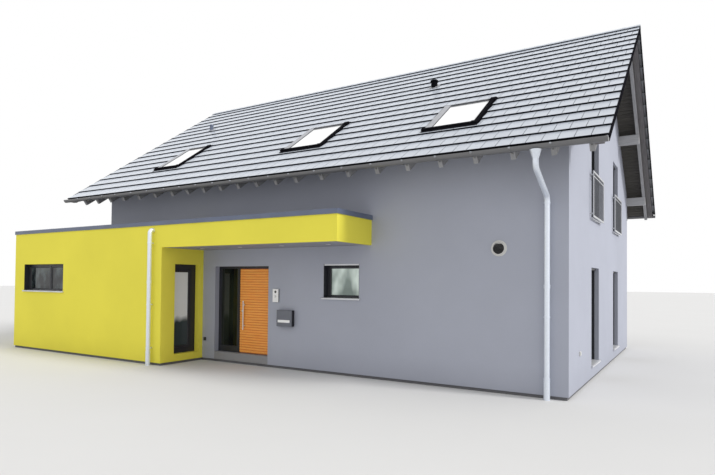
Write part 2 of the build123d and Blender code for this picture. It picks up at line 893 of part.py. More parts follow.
# Windows
with BuildPart() as window_frames:
    window_frame(front_face, front_window)
    window_frame(annex_face, annex_window, annex_mullion)
    window_frame(recess_face, recess_window, profile=wide_profile)
    for opening in right_tall + right_upper:
        window_frame(right_face, opening)
    for opening in left_tall + left_upper:
        window_frame(left_face, turned(opening))
    for opening in rear_tall:
        window_frame(rear_face, turned(opening))
save(window_frames, "window_frames")

with BuildPart() as window_panes:
    window_pane(front_face, front_window)
    window_pane(annex_face, annex_window, annex_mullion)
    window_pane(recess_face, recess_window, profile=wide_profile)
    for opening in right_tall + right_upper:
        window_pane(right_face, opening)
    for opening in left_tall + left_upper:
        window_pane(left_face, turned(opening))
    for opening in rear_tall:
        window_pane(rear_face, turned(opening))
save(window_panes, "window_panes")


def sill(plane, opening):
    """Metal sill that lies in the opening and stands out of the wall."""
    with BuildSketch(plane.offset(-frame_inset)) as inside:
        with Locations((opening.centre, opening.low + sill_height / 2)):
            Rectangle(opening.width, sill_height)
    extrude(inside.sketch, amount=frame_inset)
    with BuildSketch(plane) as outside:
        with Locations((opening.centre, opening.low + sill_height / 2)):
            Rectangle(opening.width + sill_side, sill_height)
    extrude(outside.sketch, amount=sill_projection)


with BuildPart() as window_sills:
    sill(front_face, front_window)
    sill(annex_face, annex_window)
    for opening in right_tall + right_upper:
        sill(right_face, opening)
    for opening in left_tall + left_upper:
        sill(left_face, turned(opening))
    for opening in rear_tall:
        sill(rear_face, turned(opening))
save(window_sills, "window_sills")


def balustrade(plane, opening):
    """Rail in front of a tall upper window: frame, second rail, bars and wall brackets."""
    height = balustrade_top - balustrade_bottom
    bars = int((balustrade_width - 2 * rail_size) // bar_spacing)
    with BuildSketch(plane.offset(balustrade_gap)) as frame:
        with Locations((opening.centre, balustrade_bottom + height / 2)):
            Rectangle(balustrade_width, height)
            Rectangle(balustrade_width - 2 * rail_size, height - 2 * rail_size, mode=Mode.SUBTRACT)
        with Locations((opening.centre, balustrade_top - second_rail_drop)):
            Rectangle(balustrade_width, rail_size / 2)
        with Locations((opening.centre, balustrade_bottom + height / 2)):
            with GridLocations(bar_spacing, 0, bars, 1):
                Rectangle(2 * bar_radius, height - rail_size)
    extrude(frame.sketch, amount=rail_size / 2)
    with BuildSketch(plane) as feet:
        with Locations((opening.centre, balustrade_bottom + height / 2)):
            with GridLocations(balustrade_width - rail_size, height - 3 * rail_size, 2, 2):
                Rectangle(rail_size, rail_size)
    extrude(feet.sketch, amount=balustrade_gap)


with BuildPart() as balustrades:
    for opening in right_upper:
        balustrade(right_face, opening)
    for opening in left_upper:
        balustrade(left_face, turned(opening))
save(balustrades, "window_balustrades")

# Entrance
frame_front = -half_depth + frame_inset
frame_back = frame_front + frame_depth
door_left = sidelight_right + lock_gap
door_right = entrance_right - jamb_width - door_gap
door_top = entrance_head - head_jamb - door_gap
door_bottom = floor_top + door_gap
hinge_x = door_right + door_gap / 2
hinge_y = frame_back + hinge_radius
hinge_heights = (door_bottom + hinge_inset, (door_bottom + door_top) / 2, door_top - hinge_inset)

with BuildPart() as threshold:
    block((entrance_left, -half_depth, plinth_height), (entrance_right, -inner_y, floor_top))
save(threshold, "entrance_threshold")

with BuildPart() as entrance_frame:
    block((entrance_left, frame_front, floor_top), (entrance_right, frame_back, entrance_head))
    block(
        (sidelight_right, frame_front - over_cut, floor_top - over_cut),
        (entrance_right - jamb_width, frame_back + over_cut, entrance_head - head_jamb),
        Mode.SUBTRACT,
    )
    block(
        (entrance_left + jamb_width, frame_front - over_cut, floor_top + sidelight_rail),
        (sidelight_right - jamb_width, frame_back + over_cut, entrance_head - head_jamb),
        Mode.SUBTRACT,
    )
    for z in hinge_heights:
        with BuildSketch(Plane(origin=(hinge_x, hinge_y, z - hinge_length / 2))) as barrel:
            Circle(hinge_radius)
        extrude(barrel.sketch, amount=hinge_length / 2 - hinge_joint_gap / 2)
        block(
            (hinge_x + hinge_radius / 2, frame_back, z - hinge_length / 2),
            (hinge_x + hinge_plate, frame_back + hinge_radius / 2, z - hinge_joint_gap / 2),
        )
save(entrance_frame, "entrance_frame")

with BuildPart() as sidelight:
    middle = (frame_front + frame_back) / 2
    block(
        (entrance_left + jamb_width, middle - pane_thickness / 2, floor_top + sidelight_rail),
        (sidelight_right - jamb_width, middle + pane_thickness / 2, entrance_head - head_jamb),
    )
save(sidelight, "sidelight_pane")

with BuildPart() as front_door:
    block((door_left, frame_back - door_thickness, door_bottom), (door_right, frame_back, door_top))
save(front_door, "front_door")

leaf_face = Plane.XZ.offset(-(frame_back - door_thickness))
slat_pitch = slat_height + slat_gap
slat_count = int((door_top - door_bottom - 2 * slat_inset) // slat_pitch)
slat_length = door_right - door_left - 2 * slat_inset
door_middle = ((door_left + door_right) / 2, (door_bottom + door_top) / 2)
with BuildPart() as door_slats:
    with BuildSketch(leaf_face):
        with Locations(door_middle):
            Rectangle(slat_length, door_top - door_bottom - 2 * slat_inset)
    extrude(amount=slat_backing)
    with BuildSketch(leaf_face.offset(slat_backing)):
        with Locations(door_middle):
            with GridLocations(0, slat_pitch, 1, slat_count):
                Rectangle(slat_length, slat_height)
    extrude(amount=slat_thickness - slat_backing)
save(door_slats, "front_door_slats")

handle_x = door_left + handle_inset
handle_y = frame_back - door_thickness - slat_thickness - handle_stand_off
with BuildPart() as door_handle:
    with BuildSketch(Plane(origin=(handle_x, handle_y, handle_low))):
        Circle(handle_radius)
    extrude(amount=handle_high - handle_low)
    with BuildSketch(Plane.XZ.offset(-(frame_back - door_thickness - slat_thickness))):
        with Locations((handle_x, handle_low + handle_post_inset), (handle_x, handle_high - handle_post_inset)):
            Circle(handle_post_radius)
    extrude(amount=handle_stand_off)
save(door_handle, "front_door_handle")

with BuildPart() as leaf_hinges:
    for z in hinge_heights:
        with BuildSketch(Plane(origin=(hinge_x, hinge_y, z + hinge_joint_gap / 2))) as barrel:
            Circle(hinge_radius)
        extrude(barrel.sketch, amount=hinge_length / 2 - hinge_joint_gap / 2)
        block(
            (hinge_x - hinge_plate, frame_back, z + hinge_joint_gap / 2),
            (hinge_x - hinge_radius / 2, frame_back + hinge_radius / 2, z + hinge_length / 2),
        )
save(leaf_hinges, "front_door_hinges")

# Fittings on the walls
with BuildPart() as mailbox:
    width, depth, height = mailbox_size
    with BuildSketch(front_face):
        with Locations(mailbox_place):
            Rectangle(width, height)
    extrude(amount=depth)
    fillet(mailbox.edges().filter_by(Axis.Y), radius=mailbox_corner)
save(mailbox, "mailbox")

with BuildPart() as intercom:
    width, depth, height = intercom_size
    with BuildSketch(front_face):
        with Locations(intercom_place):
            Rectangle(width, height)
    extrude(amount=depth)
    chamfer(intercom.faces().sort_by(Axis.Y)[0].edges(), length=intercom_edge)
save(intercom, "intercom")

with BuildPart() as wall_sockets:
    with BuildSketch(front_face) as front_socket:
        with Locations(front_socket_place):
            Rectangle(2 * socket_half, 2 * socket_half)
    extrude(front_socket.sketch, amount=socket_depth)
    with BuildSketch(right_face) as gable_socket:
        with Locations(gable_socket_place):
            Rectangle(2 * socket_half, 2 * socket_half)
    extrude(gable_socket.sketch, amount=socket_depth)
save(wall_sockets, "outdoor_sockets")

wall_vent_place = (half_length - wall_vent_inset, wall_vent_height)
with BuildPart() as wall_vent:
    with BuildSketch(front_face) as rim:
        with Locations(wall_vent_place):
            Circle(wall_vent_radius)
            Circle(wall_vent_bore, mode=Mode.SUBTRACT)
    extrude(rim.sketch, amount=wall_vent_depth)
    with BuildSketch(front_face) as back:
        with Locations(wall_vent_place):
            Circle(wall_vent_bore)
    extrude(back.sketch, amount=wall_vent_back)
save(wall_vent, "wall_vent")
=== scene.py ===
"""Detached house with a gable roof, a flat-roofed annex and an entrance canopy.

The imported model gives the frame. This script gives every surface its finish and makes the small parts that
the solids leave out: roof tiles, boards, glazing seals, joints, slats, bars and fittings. Sizes are in
metres.
"""

from __future__ import annotations

import json
import logging
import math
import random
from dataclasses import astuple, dataclass
from enum import Enum
from typing import ClassVar, Sequence

import bmesh
import bpy
from mathutils import Matrix, Vector

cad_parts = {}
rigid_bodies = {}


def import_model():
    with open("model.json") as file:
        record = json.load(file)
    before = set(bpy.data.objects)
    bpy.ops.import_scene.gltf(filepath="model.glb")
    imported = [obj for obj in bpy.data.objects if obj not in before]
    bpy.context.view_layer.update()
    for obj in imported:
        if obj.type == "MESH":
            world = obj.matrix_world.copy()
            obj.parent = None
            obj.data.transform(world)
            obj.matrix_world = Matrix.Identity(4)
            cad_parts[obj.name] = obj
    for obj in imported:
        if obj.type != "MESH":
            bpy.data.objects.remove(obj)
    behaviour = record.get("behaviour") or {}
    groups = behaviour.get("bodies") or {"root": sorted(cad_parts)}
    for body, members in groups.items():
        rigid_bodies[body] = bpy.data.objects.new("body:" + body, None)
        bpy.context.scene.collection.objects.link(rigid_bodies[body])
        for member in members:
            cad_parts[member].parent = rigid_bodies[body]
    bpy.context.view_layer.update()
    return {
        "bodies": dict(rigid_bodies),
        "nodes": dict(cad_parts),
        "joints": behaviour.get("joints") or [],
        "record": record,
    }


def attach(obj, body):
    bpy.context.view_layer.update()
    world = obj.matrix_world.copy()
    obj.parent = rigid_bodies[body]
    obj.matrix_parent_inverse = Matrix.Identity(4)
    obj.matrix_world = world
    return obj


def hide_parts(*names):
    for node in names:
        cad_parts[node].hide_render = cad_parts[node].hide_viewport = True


LOG = logging.getLogger("house")

Point = tuple[float, float, float]
Pair = tuple[float, float]
Colour = tuple[float, float, float]

PITCH = math.radians(35)
EAVE_Y = 5.65
EAVE_Z = 4.363
VERGE_X = 7.15
RIDGE_Z = EAVE_Z + EAVE_Y * math.tan(PITCH)
SLOPE_LENGTH = EAVE_Y / math.cos(PITCH)
WALL_X = 6.40
WALL_Y = 4.75
ANNEX_Y = -6.07
RECESS_X = -2.55
FIRST_RAFTER = 6.300
RAFTER_BAYS = ((8, 0.664), (7, 0.556), (3, 0.638), (3, 0.560))


class Side(Enum):
    """A face with a frame of its own: its origin, u to the right as seen from outside, and v up the face."""

    HOUSE = ((0, 0, 0), (1, 0, 0), (0, 1, 0))
    FRONT = ((0, -WALL_Y, 0), (1, 0, 0), (0, 0, 1))
    REAR = ((0, WALL_Y, 0), (-1, 0, 0), (0, 0, 1))
    RIGHT = ((WALL_X, 0, 0), (0, 1, 0), (0, 0, 1))
    LEFT = ((-WALL_X, 0, 0), (0, -1, 0), (0, 0, 1))
    ANNEX = ((0, ANNEX_Y, 0), (1, 0, 0), (0, 0, 1))
    RECESS = ((RECESS_X, 0, 0), (0, 1, 0), (0, 0, 1))
    FRONT_SLOPE = ((0, -EAVE_Y, EAVE_Z), (1, 0, 0), (0, math.cos(PITCH), math.sin(PITCH)))
    REAR_SLOPE = ((0, EAVE_Y, EAVE_Z), (-1, 0, 0), (0, -math.cos(PITCH), math.sin(PITCH)))

    @property
    def matrix(self) -> Matrix:
        """Turns the face's u, v and w, which points out of it, into the house's X, Y and Z.

        Returns:
            The matrix from the face's frame to the house's.
        """
        origin, u, v = (Vector(part) for part in self.value)
        turn = Matrix((u, v, u.cross(v))).transposed()
        return Matrix.Translation(origin) @ turn.to_4x4()


class Slope(Enum):
    """One of the roof's two slopes."""

    FRONT = "front"
    REAR = "rear"

    @property
    def side(self) -> Side:
        """Gives the slope's face."""
        return Side.FRONT_SLOPE if self is Slope.FRONT else Side.REAR_SLOPE

    @property
    def sign(self) -> int:
        """Gives the sign that Y has on the slope."""
        return -1 if self is Slope.FRONT else 1


# Finishes


def toned(colour: Colour, factor: float) -> Colour:
    """Gives a colour made paler or darker by a factor."""
    return tuple(min(1.0, channel * factor) for channel in colour)


class Tree:
    """A node tree with a short call that adds to it."""

    def __init__(self, tree: bpy.types.NodeTree) -> None:
        """Takes the tree."""
        self.tree = tree

    def add(self, kind: str, inputs: dict | None = None, **settings: object) -> bpy.types.Node:
        """Adds a node.

        Args:
            kind: The node's type name.
            inputs: Values or sockets for its inputs, by name or number.
            settings: Values for the node's own properties.

        Returns:
            The new node.
        """
        node = self.tree.nodes.new(kind)
        for name, value in settings.items():
            setattr(node, name, value)
        for name, value in (inputs or {}).items():
            if isinstance(value, bpy.types.NodeSocket):
                self.tree.links.new(value, node.inputs[name])
            else:
                node.inputs[name].default_value = value
        return node


class Graph(Tree):
    """The nodes of one material, with short calls for what most finishes need."""

    def __init__(self, name: str) -> None:
        """Starts a material with a principled shader.

        Args:
            name: Name of the material.
        """
        self.material = bpy.data.materials.new(name)
        self.material.use_nodes = True
        super().__init__(self.material.node_tree)
        self.shader = next(node for node in self.tree.nodes if node.type == "BSDF_PRINCIPLED")

    def place(self, stretch: Point = (1, 1, 1)) -> bpy.types.NodeSocket:
        """Gives the position on the piece, stretched along each axis."""
        where = self.add("ShaderNodeTexCoord").outputs["Object"]
        return self.add("ShaderNodeMapping", {"Vector": where, "Scale": stretch}).outputs["Vector"]

    def noise(self, scale: float, detail: float, stretch: Point = (1, 1, 1)) -> bpy.types.NodeSocket:
        """Gives a noise between 0 and 1 of so many waves a metre."""
        inputs = {"Vector": self.place(stretch), "Scale": scale, "Detail": detail}
        return self.add("ShaderNodeTexNoise", inputs).outputs["Fac"]

    def fit(self, value: bpy.types.NodeSocket, low: float, high: float, start: float = 0.0,
            end: float = 1.0) -> bpy.types.NodeSocket:
        """Maps a value from one range to another, held within it."""
        inputs = {"Value": value, "From Min": low, "From Max": high, "To Min": start, "To Max": end}
        return self.add("ShaderNodeMapRange", inputs).outputs["Result"]

    def blend(self, share: bpy.types.NodeSocket, first: Colour | bpy.types.NodeSocket,
              second: Colour | bpy.types.NodeSocket) -> bpy.types.NodeSocket:
        """Mixes two colours.

        Args:
            share: How much of the second colour shows.
            first: Colour or socket below.
            second: Colour or socket above.

        Returns:
            The mixed colour's socket.
        """
        inputs = {0: share}
        for number, colour in ((6, first), (7, second)):
            inputs[number] = colour if isinstance(colour, bpy.types.NodeSocket) else (*colour, 1.0)
        return self.add("ShaderNodeMix", inputs, data_type="RGBA").outputs[2]

    def carried(self, name: str) -> bpy.types.NodeSocket:
        """Reads a value that each point of the mesh carries."""
        return self.add("ShaderNodeAttribute", attribute_name=name).outputs["Fac"]

    def height(self) -> bpy.types.NodeSocket:
        """Gives the height above the ground."""
        return self.add("ShaderNodeSeparateXYZ", {"Vector": self.place()}).outputs["Z"]

    def colour(self, socket: bpy.types.NodeSocket) -> None:
        """Gives the shader its colour."""
        self.tree.links.new(socket, self.shader.inputs["Base Color"])

    def rough(self, socket: bpy.types.NodeSocket) -> None:
        """Gives the shader its roughness."""
        self.tree.links.new(socket, self.shader.inputs["Roughness"])

    def bump(self, height: bpy.types.NodeSocket, depth: float, strength: float) -> None:
        """Raises the surface by a height field of a real depth."""
        node = self.add("ShaderNodeBump", {"Height": height, "Distance": depth, "Strength": strength})
        self.tree.links.new(node.outputs["Normal"], self.shader.inputs["Normal"])

    def settle(self, **values: object) -> bpy.types.Material:
        """Sets constant inputs of the shader.

        Args:
            values: Their values, by name.

        Returns:
            The finished material.
        """
        for name, value in values.items():
            self.shader.inputs[name.replace("_", " ")].default_value = value
        return self.material


@dataclass(frozen=True)
class Finish:
    """A procedural material that is made once and asked for by its name."""

    name: str

    def make(self) -> bpy.types.Material:
        """Builds the material."""
        raise NotImplementedError


@dataclass(frozen=True)
class Render(Finish):
    """Scratch-finished wall render: mineral grain, faint clouds and a splash zone near the ground."""

    colour: Colour
    grain: float = 0.0022
    splash_height: float = 0.55
    gloss: float = 0.25
    roughness: float = 0.93
    foot_height: float = 0.06

    def make(self) -> bpy.types.Material:
        """Builds the material.

        Returns:
            The finished material.
        """
        graph = Graph(self.name)
        clouds = graph.fit(graph.noise(0.7, 5), 0.3, 0.7)
        body = graph.blend(clouds, toned(self.colour, 0.93), self.colour)
        speckle = graph.fit(graph.noise(170, 2), 0.35, 0.65)
        body = graph.blend(graph.fit(speckle, 0, 1, 0.0, 0.10), body, toned(self.colour, 0.6))
        wander = graph.fit(graph.noise(3.0, 3), 0, 1, -0.12, 0.12)
        wave = graph.add("ShaderNodeMath", {0: graph.height(), 1: wander})
        splash = graph.fit(wave.outputs[0], self.foot_height, self.splash_height, 0.16, 0.0)
        graph.colour(graph.blend(splash, body, toned(self.colour, 0.55)))
        graph.bump(graph.noise(120, 4), self.grain, 0.55)
        return graph.settle(Roughness=self.roughness, Specular_IOR_Level=self.gloss)


@dataclass(frozen=True)
class Timber(Finish):
    """Wood with its grain along one axis, stained or painted."""

    light: Colour
    dark: Colour
    stretch: Point
    roughness: float = 0.55
    grain_depth: float = 0.0006
    varied: float = 0.0

    def make(self) -> bpy.types.Material:
        """Builds the material.

        Returns:
            The finished material.
        """
        graph = Graph(self.name)
        broad = graph.noise(4.0, 5, self.stretch)
        fine = graph.noise(32.0, 4, self.stretch)
        body = graph.blend(graph.fit(broad, 0.32, 0.68), self.dark, self.light)
        body = graph.blend(graph.fit(fine, 0.45, 0.75, 0.0, 0.35), body, toned(self.dark, 0.7))
        if self.varied:
            tone = graph.carried("tone")
            body = graph.blend(graph.fit(tone, 0, 1, 0.0, self.varied), body, toned(self.dark, 0.72))
        graph.colour(body)
        graph.rough(graph.fit(fine, 0.2, 0.8, self.roughness - 0.08, self.roughness + 0.12))
        graph.bump(fine, self.grain_depth, 0.8)
        return graph.settle()


@dataclass(frozen=True)
class Coating(Finish):
    """Coated or bare metal or plastic: even colour with a faint cloud, fine texture and a little dust."""

    colour: Colour
    roughness: float = 0.4
    metallic: float = 0.0
    cloud: float = 0.08
    texture: float = 260.0
    depth: float = 0.0001

    def make(self) -> bpy.types.Material:
        """Builds the material.

        Returns:
            The finished material.
        """
        graph = Graph(self.name)
        soft = graph.fit(graph.noise(2.4, 4), 0.3, 0.7)
        dark, light = toned(self.colour, 1 - self.cloud), toned(self.colour, 1 + self.cloud)
        graph.colour(graph.blend(soft, dark, light))
        graph.rough(graph.fit(graph.noise(7.0, 3), 0.3, 0.7, self.roughness * 0.85, self.roughness * 1.15))
        graph.bump(graph.noise(self.texture, 2), self.depth, 0.6)
        return graph.settle(Metallic=self.metallic)


@dataclass(frozen=True)
class Zinc(Finish):
    """Zinc sheet with faint crystals and a pale bloom."""

    colour: Colour
    metallic: float
    crystals: float = 55.0
    roughness: Pair = (0.30, 0.36)

    def make(self) -> bpy.types.Material:
        """Builds the material.

        Returns:
            The finished material.
        """
        graph = Graph(self.name)
        crystal = graph.add("ShaderNodeTexVoronoi", {"Vector": graph.place(), "Scale": self.crystals})
        grey = graph.add("ShaderNodeSeparateColor", {"Color": crystal.outputs["Color"]}).outputs[0]
        body = graph.blend(grey, toned(self.colour, 0.97), toned(self.colour, 1.03))
        bloom = graph.fit(graph.noise(3.2, 5), 0.48, 0.72, 0.0, 0.25)
        graph.colour(graph.blend(bloom, body, toned(self.colour, 1.12)))
        graph.rough(graph.fit(grey, 0, 1, *self.roughness))
        return graph.settle(Metallic=self.metallic)


@dataclass(frozen=True)
class Concrete(Finish):
    """Flat concrete roof tiles: sanded, each a tone of its own, painted shade on the drip edge, and a
    painted sheen that turns them paler at flat angles.
    """

    light: Colour
    dark: Colour
    # painted sheen: how much paler the base colour grows at flat viewing angles
    painted_sheen: float = 1.75
    # painted shade: how far the drip edge darkens towards near black
    nose_painted_shade: float = 0.96
    sand_depth: float = 0.0005
    roughness: Pair = (0.27, 0.37)
    ior: float = 1.9

    def make(self) -> bpy.types.Material:
        """Builds the material.

        Returns:
            The finished material.
        """
        graph = Graph(self.name)
        tone = graph.carried("tone")
        edge = graph.carried("edge")
        body = graph.blend(tone, self.dark, self.light)
        # painted sheen: the base colour turns paler where the surface is seen at a flat angle
        facing = graph.add("ShaderNodeLayerWeight", {"Blend": 0.5}).outputs["Facing"]
        body = graph.blend(graph.fit(facing, 0.55, 0.88), body, toned(self.light, self.painted_sheen))
        stains = graph.fit(graph.noise(3.5, 5), 0.45, 0.75, 0.0, 0.12)
        body = graph.blend(stains, body, toned(self.dark, 0.6))
        sand = graph.fit(graph.noise(420, 2), 0.4, 0.7, 0.0, 0.18)
        body = graph.blend(sand, body, toned(self.light, 1.3))
        # painted shade: the drip edge, marked by the value edge, darkens to near black
        drip = graph.fit(edge, 0, 1, 0.0, self.nose_painted_shade)
        graph.colour(graph.blend(drip, body, toned(self.dark, 0.06)))
        graph.rough(graph.fit(graph.noise(9.0, 3), 0.3, 0.7, *self.roughness))
        graph.bump(graph.noise(240, 3), self.sand_depth, 0.6)
        return graph.settle(IOR=self.ior)


@dataclass(frozen=True)
class Glazing(Finish):
    """Window glass over a room, with painted reflections: soft patches of a pale colour mixed into the tint.

    Low holds the two heights between which the patches of painted reflection fade away downwards.
    """

    tint: Colour
    painted_reflection: Colour
    clearness: float = 0.3
    mirror: float = 0.0
    patches: float = 1.6
    roughness: float = 0.02
    low: Pair | None = None
    ior: float = 1.5

    def make(self) -> bpy.types.Material:
        """Builds the material.

        Returns:
            The finished material.
        """
        graph = Graph(self.name)
        # painted reflection: soft patches of the pale colour in the base colour
        reflection_share = graph.fit(graph.noise(self.patches, 2, (1.0, 1.0, 0.6)), 0.38, 0.62)
        if self.low:
            # painted reflection: bright above the upper height, gone below the lower
            wave = graph.add("ShaderNodeMath", {0: graph.height(), 1: graph.fit(reflection_share, 0, 1, -0.25, 0.25)})
            reflection_share = graph.fit(wave.outputs[0], *self.low, 0.0, 0.9)
        graph.colour(graph.blend(reflection_share, self.tint, self.painted_reflection))
        graph.rough(graph.fit(reflection_share, 0, 1, self.roughness, self.roughness + 0.02))
        return graph.settle(Transmission_Weight=self.clearness, Metallic=self.mirror, IOR=self.ior)


FINISHES: tuple[Finish, ...] = (
    Render("grey_render", (0.425, 0.445, 0.520)),
    Render("yellow_render", (0.91, 0.82, 0.095)),
    # dark render on the recessed plinth: painted shade in the shadow gap under the walls
    Render("plinth_render", (0.17, 0.17, 0.18), 0.001),
    Render("floor_screed", (0.40, 0.39, 0.37), 0.001),
    Render("threshold_stone", (0.30, 0.30, 0.31), 0.0006, 0.07),
    # roof tiles: painted sheen at flat angles and painted shade on the drip edge
    Concrete("roof_tile_concrete", (0.35, 0.38, 0.43), (0.28, 0.305, 0.35)),
    # near black without gloss: the verge laps, and the strips of painted shadow under the tile courses
    Render("dark_concrete_edge", (0.010, 0.010, 0.013), 0.0004, 0.07, 0.0),
    Timber("painted_rafters", (0.36, 0.36, 0.37), (0.26, 0.26, 0.27), (8, 1, 1), 0.6),
    Timber("painted_purlins", (0.46, 0.46, 0.47), (0.36, 0.36, 0.37), (1, 8, 8), 0.6),
    Timber("stained_boards", (0.078, 0.072, 0.062), (0.050, 0.046, 0.041), (1, 9, 9), 0.75, varied=0.32),
    # a darker copy of the painted timber: painted shade under the verge
    Timber("verge_boards", (0.155, 0.145, 0.150), (0.10, 0.095, 0.10), (9, 1, 1), 0.6),
    Timber("door_larch", (1.0, 0.47, 0.095), (1.0, 0.37, 0.062), (0.8, 9, 9), 0.42, 0.0004, varied=0.10),
    # a darker copy of the larch behind the slats: painted shade in the gaps
    Timber("door_gap_board", (0.85, 0.270, 0.046), (0.68, 0.200, 0.036), (0.8, 9, 9)),
    Coating("frame_anthracite", (0.020, 0.021, 0.028), 0.38),
    Coating("roof_window_casing", (0.34, 0.35, 0.38), 0.34),
    # near black: the roof windows' flashings, and profiles at their right side and foot that paint shade
    Render("black_flashing", (0.006, 0.006, 0.008), 0.0002, 0.07, 0.03),
    Coating("seal_rubber", (0.010, 0.010, 0.011), 0.6),
    Coating("sill_aluminium", (0.66, 0.67, 0.70), 0.35, 0.3),
    Coating("rail_galvanised", (0.50, 0.51, 0.53), 0.38, 0.3),
    # a dark copy of the rail metal: painted shade on the bars
    Coating("rail_bars", (0.13, 0.135, 0.15), 0.42, 0.2),
    Coating("coping_coating", (0.120, 0.145, 0.215), 0.36),
    Coating("soffit_panel", (0.30, 0.30, 0.34), 0.6),
    Coating("roof_membrane", (0.20, 0.20, 0.21), 0.8, texture=90, depth=0.0006),
    Coating("door_leaf_coating", (0.035, 0.036, 0.042), 0.45),
    Coating("brushed_steel", (0.74, 0.73, 0.71), 0.32, 0.8, texture=500),
    Coating("light_plastic", (0.62, 0.62, 0.60), 0.5),
    Coating("intercom_plate", (0.86, 0.86, 0.86), 0.45),
    Coating("dark_plastic", (0.03, 0.03, 0.034), 0.35),
    Coating("mailbox_front_coating", (0.135, 0.145, 0.175), 0.42),
    # near-black copy of the mailbox coating: painted shade on the body's sides
    Coating("mailbox_side_coating", (0.010, 0.010, 0.013), 0.5),
    Coating("blank_plate", (0.92, 0.93, 0.94), 0.4),
    Coating("light_lens", (0.86, 0.85, 0.80), 0.3),
    # a darker copy of the pipe zinc: painted shade and painted dark reflection on the gutters
    Zinc("gutter_zinc", (0.155, 0.155, 0.160), 0.2),
    Zinc("pipe_zinc", (0.76, 0.81, 0.89), 0.5),
    # glass: the second colour is a painted reflection in soft patches; the tall glass is painted bright
    # above and dark below
    Glazing("window_glass", (0.035, 0.038, 0.046), (0.075, 0.08, 0.09)),
    Glazing("street_window_glass", (0.22, 0.27, 0.25), (0.72, 0.82, 0.76), 0.1, 0.5, 2.6),
    Glazing("annex_window_glass", (0.003, 0.005, 0.007), (0.075, 0.100, 0.105), 0.0, 0.0, 3.6),
    Glazing("tall_window_glass", (0.045, 0.060, 0.062), (0.97, 1.0, 0.99), 0.0, 0.0, 1.3, low=(0.75, 1.05)),
    Glazing("sidelight_glass", (0.006, 0.007, 0.008), (0.020, 0.026, 0.016), 0.1, 0.0, 1.2),
    # near-white opaque pane colour: painted reflection of the sky on the roof windows' glass
    Coating("roof_window_blind", (0.90, 0.91, 0.92), 0.12, cloud=0.02),
)


# Making


@dataclass(frozen=True)
class Patch:
    """A rectangle on a face, in u and v."""

    left: float
    right: float
    low: float
    high: float

    SLIVER: ClassVar[Pair] = (0.012, 0.03)

    def inset(self, amount: float) -> Patch:
        """Gives the patch with each edge moved inward."""
        return Patch(self.left + amount, self.right - amount, self.low + amount, self.high - amount)

    def toward(self, inner: Patch, share: float) -> Patch:
        """Gives the patch that lies at a share of the way to another.

        Args:
            inner: The other patch.
            share: 0 for this patch, 1 for the other.

        Returns:
            The patch in between.
        """
        pairs = zip(astuple(self), astuple(inner))
        return Patch(*(a + share * (b - a) for a, b in pairs))

    def corners(self, w: float) -> list[Point]:
        """Gives the four corners at a height above the face."""
        left, right, low, high = astuple(self)
        return [(left, low, w), (right, low, w), (right, high, w), (left, high, w)]

    def without(self, hole: Patch) -> list[Patch]:
        """Gives what is left of the patch round a hole.

        Args:
            hole: The rectangle that is cut out.

        Returns:
            The parts round it, without those too small to be seen.
        """
        apart = hole.left >= self.right or hole.right <= self.left
        if apart or hole.low >= self.high or hole.high <= self.low:
            return [self]
        left, right = max(self.left, hole.left), min(self.right, hole.right)
        parts = [
            Patch(self.left, left, self.low, self.high),
            Patch(right, self.right, self.low, self.high),
            Patch(left, right, self.low, hole.low),
            Patch(left, right, hole.high, self.high),
        ]
        width, height = self.SLIVER
        return [part for part in parts if part.right - part.left > width and part.high - part.low > height]


def cleared(patches: Sequence[Patch], holes: Sequence[Patch]) -> list[Patch]:
    """Cuts every hole out of every patch.

    Args:
        patches: Rectangles to cut.
        holes: Rectangles that are cut out of them.

    Returns:
        What is left.
    """
    for hole in holes:
        patches = [part for patch in patches for part in patch.without(hole)]
    return list(patches)


